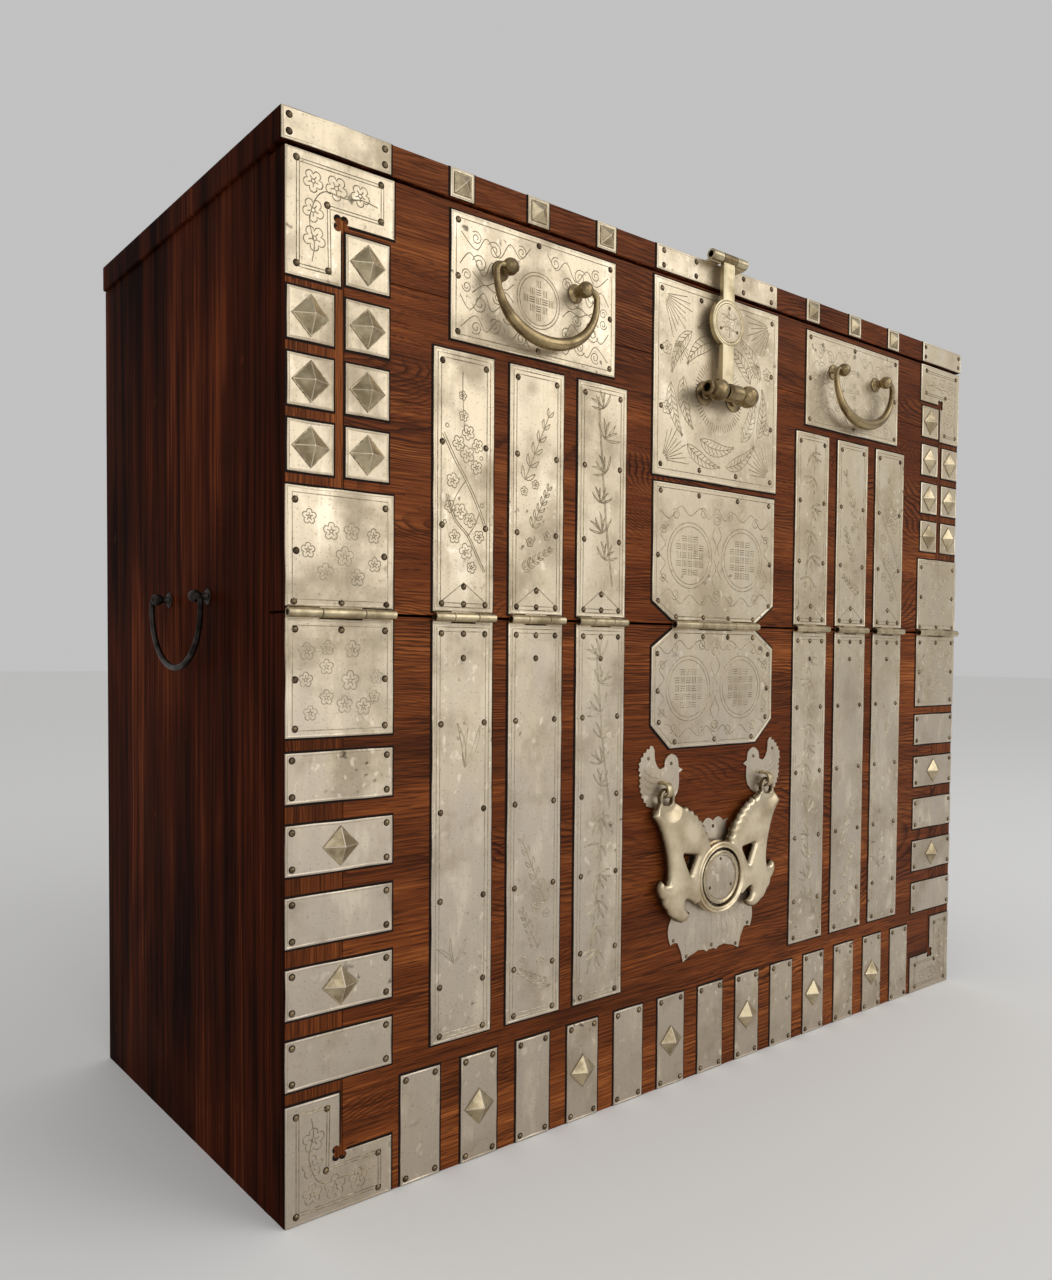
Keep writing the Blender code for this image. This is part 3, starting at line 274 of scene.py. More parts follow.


# a dark speckled film, partly dirty and partly painted shade round plates and nails
def dirtShadeFilm(name, light, dark):
    film = Finish(name, Specular_IOR_Level=0.1)
    speck = film.noise((260, 260, 260), 3.0)
    film.drive(Base_Color=film.mix(speck, dark, light), Roughness=speck * 0.2 + 0.6)
    return film.look


grainUp = (0, math.pi / 2, 0)
frontPanel = zelkova("zelkova_front_panel", shift=(0.31, 0, -0.21), heart=0.035)
flapPanel = zelkova("zelkova_flap_panel", shift=(0.12, 0, -0.57), heart=0.03, slope=0.16, curl=0.24)
flapRail = zelkova("zelkova_flap_rail", shift=(-0.30, 0, -0.70), heart=0.06, tone=0.82)
endStrip = zelkova("zelkova_end_strip", grainUp, (0.4, 0.3, 0.55), tone=0.8)
topWood = zelkova("zelkova_top", shift=(0.22, 0.1, -0.93), heart=0.08, tone=0.85)
sideStain = stainedCase("stained_side", grainUp)
flatStain = stainedCase("stained_flat", shift=(0.4, 0.2, 0.1))
sheetMetal = plateMetal("pale_nickel_brass")
# rubbed colour, dark colour, fineness, roughness where rubbed, depth of the relief
chased = agedMetal("chased_line", (0.410, 0.342, 0.226), (0.225, 0.181, 0.115), 260, 0.42, 0.00005)
faintLine = agedMetal("worn_line", (0.490, 0.422, 0.302), (0.330, 0.280, 0.195), 260, 0.40, 0.00005)
nailMetal = agedMetal("nail_brass", (0.250, 0.182, 0.104), (0.075, 0.052, 0.030), 240, 0.13, 0.0001)
studMetal = agedMetal("stud_brass", (0.560, 0.466, 0.302), (0.280, 0.219, 0.130), 70, 0.25, 0.0002)
castBrass = agedMetal("antique_brass", (0.380, 0.284, 0.148), (0.140, 0.096, 0.047), 55, 0.20, 0.0002)
# the handle's flank colour is painted shade on the sloping sides of its dome
handleBrass = agedMetal("handle_brass", (0.720, 0.610, 0.430), (0.440, 0.350, 0.220), 34, 0.20, 0.0002,
                        shadedFlank=(0.130, 0.092, 0.050))
paleBrass = agedMetal("pale_cast_brass", (0.640, 0.540, 0.350), (0.380, 0.300, 0.175), 40, 0.30, 0.0003)
darkIron = agedMetal("dark_iron", (0.060, 0.050, 0.045), (0.016, 0.013, 0.012), 120, 0.40, 0.0003)
# the dark film round plates and nails: dirty, and painted shade as well
grimeShade = dirtShadeFilm("grimeShade", (0.020, 0.0105, 0.0070), (0.004, 0.0024, 0.0020))
plateLooks = [sheetMetal, chased, nailMetal, grimeShade, studMetal, faintLine]
onSheet, onLine, onNail, onGrimeShade, onStud, onFaint = range(len(plateLooks))
print("finishes ready")


# shaping helpers

shaping = {"crease": math.radians(40), "flat": math.radians(1), "weld": 1e-6, "weldCad": 1e-5,
           "sheetEdge": 0.00035}
facing = Matrix.Rotation(math.pi / 2, 4, "X")       # turns a shape made along Z to the front


def put(name, bm, looks, body, slot, *nodes):
    # a finished piece on its body, in place of the nodes that it stands for
    mesh = bpy.data.meshes.new(name)
    for e in bm.edges:
        e.smooth = e.is_manifold and e.calc_face_angle(0) < shaping["crease"]
    bm.to_mesh(mesh)
    bm.free()
    for look in looks:
        mesh.materials.append(look)
    piece = bpy.data.objects.new(name, mesh)
    bpy.context.scene.collection.objects.link(piece)
    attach(piece, body)
    if nodes:
        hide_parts(*nodes)


def dress(node, look):
    # a CAD node that shows as it is
    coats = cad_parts[node].data.materials
    coats.clear()
    coats.append(look)


def merged(node):
    bm = bmesh.new()
    bm.from_mesh(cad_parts[node].data)
    bmesh.ops.remove_doubles(bm, verts=bm.verts, dist=shaping["weldCad"])
    return bm


def outward(bm, faces):
    bmesh.ops.recalc_face_normals(bm, faces=faces)


def soften(bm, edges, size):
    return bmesh.ops.bevel(bm, geom=edges, offset=size, segments=2, profile=0.5, affect="EDGES",
                           material=-1, clamp_overlap=True)["faces"]


def softenSharp(bm, size):
    soften(bm, [e for e in bm.edges if e.is_manifold and e.calc_face_angle(0) > shaping["crease"]], size)


def facesOf(verts):
    return list(dict.fromkeys(f for v in verts for f in v.link_faces))


def edgesOf(verts):
    return list(dict.fromkeys(e for v in verts for e in v.link_edges))


def finishFaces(faces, look, smooth=True):
    for f in faces:
        f.material_index = look
        f.smooth = smooth


def addBoard(bm, low, high, edge):
    low, high = Vector(low), Vector(high)
    block = Matrix.Translation((low + high) / 2) @ Matrix.Diagonal((*(high - low), 1.0))
    made = bmesh.ops.create_cube(bm, size=1.0, matrix=block)
    soften(bm, edgesOf(made["verts"]), edge)


def extruded(bm, rim, run):
    # a block from a loop of vertices; its faces, the moved one first
    grown = bmesh.ops.extrude_face_region(bm, geom=[bm.faces.new(rim)])["geom"]
    lid = [g for g in grown if isinstance(g, bmesh.types.BMFace)][0]
    bmesh.ops.translate(bm, vec=run, verts=lid.verts)
    faces = [lid] + [f for f in facesOf(rim + lid.verts[:]) if f != lid]
    outward(bm, faces)
    return faces


def addSheet(bm, loop, back, front, edge=shaping["sheetEdge"], look=onSheet):
    # a plate in the XZ plane from a loop in millimetres
    rim = [bm.verts.new((x * mm, back, z * mm)) for x, z in loop]
    faces = extruded(bm, rim, (0, front - back, 0))
    for f in faces:
        f.material_index = look
    soften(bm, faces[0].edges[:], edge)


chase = {"wide": 0.95, "fine": 0.55, "high": 0.00022}


def addLine(bm, points, width, face, high=chase["high"], look=onLine):
    # a raised chased line: a narrow grid laid along the points, in millimetres
    count = len(points) - 1
    grid = bmesh.ops.create_grid(bm, x_segments=count, y_segments=2, size=1.0)["verts"]
    flat = [Vector(p) for p in points]
    closed = (flat[0] - flat[-1]).length < shaping["weld"]
    for v in grid:
        i = round((v.co.x + 1) / 2 * count)
        side = round(v.co.y)
        before = flat[i - 1] if i else (flat[-2] if closed else flat[0])
        after = flat[i + 1] if i < count else (flat[1] if closed else flat[-1])
        run = (after - before).normalized()
        spot = flat[i] + Vector((-run.y, run.x)) * side * width / 2
        v.co = (spot.x * mm, face - (0 if side else high), spot.y * mm)
    finishFaces(facesOf(grid), look)


nail = {"radius": 2.4, "dome": 0.75, "around": 10, "up": 5, "ring": 1.22, "ringSides": 12, "lift": 0.00007}


def addNail(bm, x, z, face, radius=nail["radius"], look=onNail):
    # a dome in a dark ring, partly old dirty film and partly painted shade round its foot
    n = nail
    # painted shade: the dark disc round the nail's foot
    under = Matrix.Translation((x * mm, face - n["lift"], z * mm))
    foot = bmesh.ops.create_circle(bm, cap_ends=True, segments=n["ringSides"],
                                   radius=radius * n["ring"] * mm, matrix=under @ facing)
    finishFaces(facesOf(foot["verts"]), onGrimeShade)
    place = Matrix.Translation((x * mm, face, z * mm)) @ Matrix.Diagonal((1, n["dome"], 1, 1))
    dome = bmesh.ops.create_uvsphere(bm, u_segments=n["around"], v_segments=n["up"], radius=radius * mm,
                                     matrix=place @ facing)
    finishFaces(facesOf(dome["verts"]), look)


stud = {"foot": 0.7, "straight": 0.99, "start": 0.5, "narrow": 0.95, "tip": 0.04, "ridge": 0.55}


def addStud(bm, x, z, face, radius, high, upright):
    # a hammered pyramid on a thin dark foot, its ridges worn bright
    s = stud
    turn = Matrix.Rotation(math.pi / 4 if upright else 0.0, 4, "Z")
    foot = (radius, radius * s["straight"], 0.0, s["foot"], onLine)
    point = (radius * s["narrow"], radius * s["tip"], s["start"], high - s["start"], onStud)
    for wide, top, start, rise, look in (foot, point):
        spot = Matrix.Translation((x * mm, face - (start + rise / 2) * mm, z * mm))
        made = bmesh.ops.create_cone(bm, cap_ends=True, segments=4, radius1=wide * mm, radius2=top * mm,
                                     depth=rise * mm, matrix=spot @ facing @ turn)["verts"]
        finishFaces(facesOf(made), look, False)
        if look == onStud:
            finishFaces(soften(bm, edgesOf(made), s["ridge"] * mm), onSheet, False)


def addTurned(bm, profile, at, along, steps, look=0):
    # profile of (distance along the axis, radius) in metres, spun about the axis
    along = Vector(along)
    out = along.orthogonal().normalized()
    before = set(bm.faces)
    verts = [bm.verts.new(Vector(at) + along * d + out * r) for d, r in profile]
    edges = [bm.edges.new(pair) for pair in zip(verts, verts[1:])]
    bmesh.ops.spin(bm, geom=verts + edges, cent=at, axis=along, angle=2 * math.pi, steps=steps,
                   use_merge=True)
    made = [f for f in bm.faces if f not in before]
    touched = list(dict.fromkeys(v for f in made for v in f.verts))
    bmesh.ops.remove_doubles(bm, verts=touched, dist=shaping["weld"])
    made = [f for f in made if f.is_valid]
    finishFaces(made, look)
    outward(bm, made)


def addTube(bm, points, radii, normal, around):
    # a rod along a flat path: a grid rolled round the points; normal is square to the path's plane
    count = len(points) - 1
    grid = bmesh.ops.create_grid(bm, x_segments=count, y_segments=around, size=1.0)["verts"]
    path = [Vector(p) for p in points]
    normal = Vector(normal)
    for v in grid:
        i = round((v.co.x + 1) / 2 * count)
        turn = math.pi * v.co.y
        run = (path[min(i + 1, count)] - path[max(i - 1, 0)]).normalized()
        across = run.cross(normal)
        v.co = path[i] + (across * math.cos(turn) + normal * math.sin(turn)) * radii[i]
    bmesh.ops.remove_doubles(bm, verts=grid, dist=shaping["weld"])
    faces = facesOf([v for v in grid if v.is_valid])
    rims = [e for e in dict.fromkeys(e for f in faces for e in f.edges) if e.is_boundary]
    faces += bmesh.ops.holes_fill(bm, edges=rims)["faces"]
    finishFaces(faces, 0)
    outward(bm, faces)


def softCopy(node, edge=shaping["sheetEdge"]):
    # the CAD node again with its sharp edges eased
    bm = merged(node)
    bmesh.ops.dissolve_limit(bm, angle_limit=shaping["flat"], verts=bm.verts, edges=bm.edges)
    softenSharp(bm, edge)
    for f in bm.faces:
        f.material_index = onSheet
    return bm


# outlines and chased motifs, all in millimetres on the front

def rect(x0, z0, x1, z1):
    return [(x0, z0), (x1, z0), (x1, z1), (x0, z1)]


def boxAt(x, z, wide, tall):
    return (x - wide / 2, z - tall / 2, x + wide / 2, z + tall / 2)


def inset(box, by):
    x0, z0, x1, z1 = box
    loop = rect(x0 + by, z0 + by, x1 - by, z1 - by)
    return loop + loop[:1]


def polar(x, z, turn, reach):
    a = math.radians(turn)
    return (x + reach * math.cos(a), z + reach * math.sin(a))


def ring(x, z, r, n, start=0.0, span=360.0):
    return [polar(x, z, start + span * i / n, r) for i in range(n + 1)]


def edgeNails(box, inside, across, up):
    x0, z0, x1, z1 = box[0] + inside, box[1] + inside, box[2] - inside, box[3] - inside
    spots = [(x0 + (x1 - x0) * i / (across - 1), z) for i in range(across) for z in (z0, z1)]
    spots += [(x, z0 + (z1 - z0) * j / (up - 1)) for j in range(1, up - 1) for x in (x0, x1)]
    return spots


shears = {"step": 24.0, "stray": 0.35, "corner": 0.4}


def handCut(loop, seed):
    # edges cut with hand shears: a slight wander between the corners
    s = shears
    luck = random.Random(seed)
    out = []
    for a, b in zip(loop, loop[1:] + loop[:1]):
        a, b = Vector(a), Vector(b)
        parts = max(1, round((b - a).length / s["step"]))
        side = Vector((a.y - b.y, b.x - a.x)).normalized()
        for i in range(parts):
            off = luck.uniform(-s["stray"], s["stray"]) * (1 if i else s["corner"])
            out.append(tuple(a.lerp(b, i / parts) + side * off))
    return out


def filled(points, steps):
    # more points on each straight run, so that a long line keeps to its corners
    out = []
    for a, b in zip(points, points[1:]):
        out += [tuple(Vector(a).lerp(Vector(b), i / steps)) for i in range(steps)]
    return out + [points[-1]]


def flow(points, steps):
    # a smooth run through a few points
    ends = [Vector(points[0]), *[Vector(p) for p in points], Vector(points[-1])]
    out = []
    for a, b, c, d in zip(ends, ends[1:], ends[2:], ends[3:]):
        for i in range(steps):
            t = i / steps
            out.append(tuple(0.5 * (2 * b + (c - a) * t + (2 * a - 5 * b + 4 * c - d) * t * t
                                    + (3 * b - a - 3 * c + d) * t ** 3)))
    return out + [tuple(points[-1])]


def doubled(line, gap):
    # two lines side by side, as the two edges of a bough
    out = []
    for side in (-0.5, 0.5):
        edge = []
        for i, p in enumerate(line):
            run = Vector(line[min(i + 1, len(line) - 1)]) - Vector(line[max(i - 1, 0)])
            edge.append(tuple(Vector(p) + Vector((-run.y, run.x)).normalized() * gap * side))
        out.append(edge)
    return out


petals = {"count": 5, "points": 40, "valley": 0.60, "round": 0.6, "stamens": (0.26, 0.40, 0.54), "eye": 0.2,
          "eyeSides": 7}


def blossom(x, z, r, turn=90.0):
    # petals in one scalloped outline, round a small eye with its stamens
    p = petals
    edge = []
    for i in range(p["points"] + 1):
        around = 360 * i / p["points"]
        swell = abs(math.cos(math.radians(p["count"] * around / 2))) ** p["round"]
        edge.append(polar(x, z, turn + around, r * (p["valley"] + (1 - p["valley"]) * swell)))
    spokes = [turn + 360 * k / p["count"] for k in range(p["count"])]
    lines = [[polar(x, z, spoke, r * d) for d in p["stamens"]] for spoke in spokes]
    return lines + [edge, ring(x, z, p["eye"] * r, p["eyeSides"])]


leaf = {"bow": 0.14, "fat": 0.10, "steps": 7, "uneven": 0.12}


def blade(x, z, length, heading, bow, fat=leaf["fat"]):
    # a pointed leaf: two bowed edges from its foot to its tip
    foot = Vector((x, z))
    run, side = [Vector(polar(0, 0, heading + turn, length)) for turn in (0, 90)]
    shares = [i / leaf["steps"] for i in range(leaf["steps"] + 1)]
    return [[tuple(foot + run * s + side * 4 * s * (1 - s) * (bow + sign * fat) / 2) for s in shares]
            for sign in (-1, 1)]


def leafSpray(x, z, size, heading, count, fan):
    # leaves from one foot, bowed to either side by turns
    lines = []
    for k in range(count):
        turn = heading + fan * (k / (count - 1) - 0.5)
        lines += blade(x, z, size * (1 - leaf["uneven"] * (k % 2)), turn, leaf["bow"] * (1 if k % 2 else -1))
    return lines


weave = {"around": 32, "inner": 0.88, "reach": 0.8, "field": 0.86, "margin": 0.7, "half": 0.42,
         "strands": (-0.27, 0.0, 0.27)}


def weaveDisc(x, z, r, cell):
    # a plain basket-weave medallion inside two rings
    w = weave
    lines = [ring(x, z, r, w["around"]), ring(x, z, r * w["inner"], w["around"])]
    reach = int(r * w["reach"] / cell)
    half = cell * w["half"]
    for i in range(-reach, reach + 1):
        for j in range(-reach, reach + 1):
            if math.hypot(i * cell, j * cell) > r * w["field"] - cell * w["margin"]:
                continue
            for strand in w["strands"]:
                off = cell * strand
                ends = ((-half, off), (half, off)) if (i + j) % 2 else ((off, -half), (off, half))
                lines.append([(x + i * cell + a, z + j * cell + b) for a, b in ends])
    return lines


curl = {"step": 30, "points": 19, "close": 24}


def scroll(x, z, r, start, hand):
    # a cloud scroll: one and a half turns that close in
    c = curl
    return [polar(x, z, start + hand * c["step"] * i, r * (1 - i / c["close"])) for i in range(c["points"])]


def scrollField(x, z, spots, vines):
    # the same scrolls and winding vines in all four quarters about a centre
    lines = []
    for sx in (-1, 1):
        for sz in (-1, 1):
            for dx, dz, r, start in spots:
                turn = start if sx > 0 else 180 - start
                lines.append(scroll(x + sx * dx, z + sz * dz, r, turn if sz > 0 else -turn, sx * sz))
            for vine in vines:
                lines.append(flow([(x + sx * dx, z + sz * dz) for dx, dz in vine], 5))
    return lines


plume = {"steps": 9, "swell": 0.7, "barb": 0.85, "sweep": 0.10}


def feather(x, z, r, start, span, fat):
    # a plume bent round a centre: quill, two edges and short barbs
    p = plume
    shares = [i / p["steps"] for i in range(p["steps"] + 1)]
    def at(share, off):
        return polar(x, z, start + span * share, r + off)
    def width(share):
        return fat * math.sin(math.pi * share ** p["swell"])
    lines = [[at(t, 0) for t in shares]]
    for sign in (-1, 1):
        lines.append([at(t, sign * width(t)) for t in shares])
        lines += [[at(t, 0), at(min(1, t + p["sweep"]), sign * p["barb"] * width(t))] for t in shares[1:-1]]
    return lines


needles = {"count": 9, "fan": 76.0, "uneven": 0.1, "marks": (0.18, 0.6, 1.0)}


def needleFan(x, z, size, heading):
    # needles spread from one foot
    n = needles
    lines = []
    for k in range(n["count"]):
        turn = heading + n["fan"] * (k / (n["count"] - 1) - 0.5)
        reach = size * (1 - n["uneven"] * (k % 3))
        lines.append([polar(x, z, turn, reach * mark) for mark in n["marks"]])
    return lines


# nailed plates

frontFace = -0.215
trimFace = -0.2162      # plates nailed straight on a board
leafBack, leafFace = -0.2153, -0.2165       # hinge leaves and the plates of lock and bails
hem = {"inside": 1.25, "wide": 2.1, "high": 0.00038}
# the dark outline round each plate is partly dirty film and partly painted shadow
dirtShade = {"wide": 1.8, "lift": 0.00012, "half": 496.6,
        "boards": ((0.3, 478.7), (481.3, 830.7), (834.3, 859.7))}


def addDirtShade(bm, loop):
    # the dark line round a plate: partly a dirty film, partly painted shadow at the plate's edge; kept on
    # the plate's own board
    d = dirtShade
    mid = sum(z for x, z in loop) / len(loop)
    low, high = min(d["boards"], key=lambda b: max(b[0] - mid, mid - b[1]))
    kept = [(min(max(x, -d["half"]), d["half"]), min(max(z, low), high)) for x, z in loop]
    stain = bm.faces.new([bm.verts.new((x * mm, frontFace - d["lift"], z * mm)) for x, z in kept])
    stain.material_index = onGrimeShade
    stain.normal_update()
    if stain.normal.y > 0:
        stain.normal_flip()


def spread(points, mid, by):
    # points moved away from the middle, or towards it
    return [(x + by * math.copysign(1, x - mid.x), z + by * math.copysign(1, z - mid.y)) for x, z in points]


def addTrim(bm, loop, seed, lines=(), nails=(), studs=(), back=frontFace, front=trimFace, look=onLine):
    # one nailed plate with its dark outline of dirty film and painted shadow, hammered hem, chased lines,
    # nails and pyramids
    cut = handCut(loop, seed)
    mid = Vector((sum(x for x, z in loop), sum(z for x, z in loop))) / len(loop)
    addSheet(bm, cut, back, front)
    addDirtShade(bm, spread(loop, mid, dirtShade["wide"]))
    addLine(bm, spread(cut + cut[:1], mid, -hem["inside"]), hem["wide"], front, hem["high"], onSheet)
    for line in lines:
        addLine(bm, line, chase["wide"], front, look=look)
    for x, z in nails:
        addNail(bm, x, z, front)
    for pyramid in studs:
        addStud(bm, *pyramid)


# boards

boards = {"half": 0.497, "strip": 0.0505, "thick": 0.026, "railFoot": 0.7487, "seam": 0.0004,
          "round": 0.0007, "flap": (0.481, 0.831), "front": (0.0, 0.479), "top": (0.834, 0.860),
          "topHalf": 0.5, "back": 0.215, "topRound": 0.0016, "edge": 0.0018, "endwards": 0.2,
          "downwards": -0.5}


def stainEnds(bm, half):
    # undersides and the board ends at the chest's two sides are stained like the case
    b = boards
    bm.normal_update()
    for f in bm.faces:
        end = abs(f.normal.x) > b["endwards"] and abs(f.calc_center_median().x) > half - b["edge"]
        f.material_index = int(end or f.normal.z < b["downwards"])


def makeBoards():
    b = boards
    inner = b["half"] - b["strip"]
    wide = (-inner + b["seam"], inner - b["seam"])
    panels = [("flap_panel", "flap", flapPanel, *wide, b["flap"][0], b["railFoot"], "flap_board"),
              ("flap_rail", "flap", flapRail, *wide, b["railFoot"] + b["seam"], b["flap"][1]),
              ("front_panel", "chest", frontPanel, *wide, *b["front"], "front_board")]
    for side, sign in sides:
        ends = sorted((sign * inner, sign * b["half"]))
        panels.append((side + "_flap_strip", "flap", endStrip, *ends, *b["flap"]))
        panels.append((side + "_front_strip", "chest", endStrip, *ends, *b["front"]))
    for name, body, look, x0, x1, z0, z1, *node in panels:
        bm = bmesh.new()
        addBoard(bm, (x0, frontFace, z0), (x1, frontFace + b["thick"], z1), b["round"])
        stainEnds(bm, b["half"])
        put(name, bm, [look, sideStain], body, "front_wood", *node)
    bm = bmesh.new()
    foot, top = b["top"]
    addBoard(bm, (-b["topHalf"], frontFace, foot), (b["topHalf"], b["back"], top), b["topRound"])
    stainEnds(bm, b["topHalf"])
    put("top_plank", bm, [topWood, sideStain], "chest", "case_wood", "top_board")
    for side, sign in sides:
        dress(side + "_side", sideStain)
    for node in ("back_board", "bottom_board"):
        dress(node, flatStain)
    print("boards done")


# trim

cornerPlate = {"outer": 496.5, "wide": 95.5, "leg": 47.0, "flapTop": 830.5, "frontFoot": 0.5,
               "lobes": (135, 225, 315), "reach": 4.2, "lobe": 3.4, "steps": 24, "borders": (0, 2.4),
               "blossoms": [(23, 21, 8.5), (43, 21, 9.5), (64, 21, 8.5), (23, 43, 9.0), (24, 64, 9.5)],
               "twig": [(80, 26), (66, 24), (50, 27), (34, 26), (25, 34), (20, 52), (24, 68), (22, 82)],
               "nails": [(9, 7), (83, 7), (83, 36), (35, 36), (36, 86), (9, 86)]}


def trefoil():
    # the round-lobed notch at the plate's inner corner
    c = cornerPlate
    points = []
    for i in range(c["steps"] + 1):
        turn = 90 + 270 * i / c["steps"]
        reach = 0.0
        for lobe in c["lobes"]:
            off = math.radians(turn - lobe)
            inside = c["lobe"] ** 2 - (c["reach"] * math.sin(off)) ** 2
            if inside >= 0 and math.cos(off) > 0:
                reach = max(reach, c["reach"] * math.cos(off) + math.sqrt(inside))
        points.append(polar(c["leg"], c["leg"], turn, reach))
    return points


def addCorner(bm, sign, up):
    c = cornerPlate
    edge = c["flapTop"] if up > 0 else c["frontFoot"]
    def at(points):     # from the plate's outer corner, inwards
        return [(sign * (c["outer"] - x), edge - up * z) for x, z in points]
    wide, leg, near = c["wide"], c["leg"], hem["inside"]
    shape = [(0, 0), (0, wide), (leg, wide), *trefoil(), (wide, leg), (wide, 0)]
    addSheet(bm, at(shape), frontFace, trimFace)
    # its dark outline: dirty film and painted shadow
    addDirtShade(bm, at([(x + dirtShade["wide"] * (x > 0), z + dirtShade["wide"] * (z > 0)) for x, z in shape]))
    border = c["nails"] + c["nails"][:1]
    lines = [filled([(x + by, z + by) for x, z in border], 3) for by in c["borders"]]
    lines.append(flow(c["twig"], 4))
    for flower in c["blossoms"]:
        lines += blossom(*flower)
    for line in lines:
        addLine(bm, at(line), chase["wide"], trimFace)
    hemmed = [(leg - near, wide - near), (near, wide - near), (near, near), (wide - near, near),
              (wide - near, leg - near)]
    addLine(bm, at(hemmed), hem["wide"], trimFace, hem["high"], onSheet)
    for x, z in at(c["nails"]):
        addNail(bm, x, z, trimFace)


studPlate = {"wide": 39.5, "columns": (475.25, 425.25), "rows": (3, 4), "pitch": 50.0, "start": 607.25,
             "radius": 16.4, "high": 8.0}


def pyramidAt(x, z):
    return (x, z, trimFace, studPlate["radius"], studPlate["high"], False)


def makeFlapTrim():
    s = studPlate
    bm = bmesh.new()
    for sign in (-1, 1):
        addCorner(bm, sign, 1)
        for column, rows in zip(s["columns"], s["rows"]):
            for row in range(rows):
                x, z = sign * column, s["start"] + row * s["pitch"]
                box = boxAt(x, z, s["wide"], s["wide"])
                addTrim(bm, rect(*box), row + int(column), studs=[pyramidAt(x, z)])
    put("flap_trim", bm, plateLooks, "flap", "plate_metal")
    print("flap trim done")


columnPlate = {"x": 448.75, "wide": 95.5, "tall": 39.5, "pitch": 56.0, "mid": 239.5, "count": 5,
               "nailsIn": 5.5, "seed": 20}
rowPlate = {"wide": 39.5, "tall": 94.0, "pitch": 62.0, "reach": 6, "foot": 0.5, "stud": 47.0, "nailsIn": 5.0,
            "seed": 40}


def makeFrontTrim():
    c, r = columnPlate, rowPlate
    bm = bmesh.new()
    for sign in (-1, 1):
        addCorner(bm, sign, -1)
        for k in range(c["count"]):
            x, z = sign * c["x"], c["mid"] + (k - (c["count"] - 1) / 2) * c["pitch"]
            box = boxAt(x, z, c["wide"], c["tall"])
            addTrim(bm, rect(*box), c["seed"] + k + sign, nails=edgeNails(box, c["nailsIn"], 2, 2),
                    studs=[pyramidAt(x, z)] if k % 2 else [])
    for k in range(-r["reach"], r["reach"] + 1):
        x = k * r["pitch"]
        box = boxAt(x, r["foot"] + r["tall"] / 2, r["wide"], r["tall"])
        addTrim(bm, rect(*box), r["seed"] + k, nails=edgeNails(box, r["nailsIn"], 2, 2),
                studs=[pyramidAt(x, r["stud"])] if k % 2 else [])
    put("front_trim", bm, plateLooks, "chest", "plate_metal")
    print("front trim done")


topTrim = {"mid": 847.0, "tall": 24.5, "end": 499.5, "wide": 95.5, "nailsIn": 6.0, "endSeed": 60,
           "studs": (164.5, 249.0, 333.5), "size": 24.5, "border": 3.0, "radius": 12.2, "high": 6.0,
           "studSeed": 70}


def makeTopTrim():
    t = topTrim
    bm = bmesh.new()
    for sign in (-1, 1):
        box = boxAt(sign * (t["end"] - t["wide"] / 2), t["mid"], t["wide"], t["tall"])
        addTrim(bm, rect(*box), t["endSeed"] + sign, nails=edgeNails(box, t["nailsIn"], 2, 2))
        for x in t["studs"]:
            box = boxAt(sign * x, t["mid"], t["size"], t["size"])
            pyramid = (sign * x, t["mid"], trimFace, t["radius"], t["high"], True)
            addTrim(bm, rect(*box), t["studSeed"] + int(x), [inset(box, t["border"])], studs=[pyramid])
    put("top_trim", bm, plateLooks, "chest", "plate_metal")
    print("top trim done")


# hinges

hinge = {"y": -0.2195, "z": 0.480, "radius": 0.0040, "bore": 0.0025, "round": 0.0004, "around": 20,
         "share": 0.4, "gap": 0.0004, "start": 4.6, "lap": 0.6, "tabEdge": 0.0002}


def knuckle(a, b, radius, bore, edge):
    # profile of a rolled barrel with eased rims
    return [(a, bore), (a, radius - edge), (a + edge, radius), (b - edge, radius), (b, radius - edge),
            (b, bore)]


def addKnuckles(bm, x, barrel, upper):
    # a leaf's share of the rolled barrel, and the tabs that run from the leaf to it
    h = hinge
    inner, outer, gap = barrel * h["share"] / 2, barrel / 2, h["gap"] / 2
    spans = [(-inner + gap, inner - gap)] if upper else [(-outer, -inner - gap), (inner + gap, outer)]
    tab = (h["start"] + h["lap"]) * mm
    low, high = sorted((h["z"], h["z"] + (tab if upper else -tab)))
    for a, b in spans:
        profile = knuckle(a, b, h["radius"], h["bore"], h["round"]) + [(a, h["bore"])]
        addTurned(bm, profile, (x, h["y"], h["z"]), (1, 0, 0), h["around"], onStud)
        a, b = max(a, gap - outer), min(b, outer - gap)
        addBoard(bm, (x + a, leafFace, low), (x + b, leafBack, high), h["tabEdge"])


leaves = (("upper", "flap", 1), ("lower", "chest", -1))


def leafBox(node, up):
    # the flat of a leaf in millimetres, from its end to where its tabs start
    low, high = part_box(node)
    near = hinge["z"] / mm + up * hinge["start"]
    foot, top = (near, high.z / mm) if up > 0 else (low.z / mm, near)
    return (low.x / mm, foot, high.x / mm, top)


def makeLeaf(node, body, loop, lines, nails, x, barrel, up, seed, look=onLine):
    bm = bmesh.new()
    addTrim(bm, loop, seed, lines, nails, back=leafBack, front=leafFace, look=look)
    addKnuckles(bm, x * mm, barrel * mm, up > 0)
    put(node.replace("_leaf", "_plate"), bm, plateLooks, body, "plate_metal", node)


# sprays: places are millimetres from the leaf's middle and shares of the spray's height

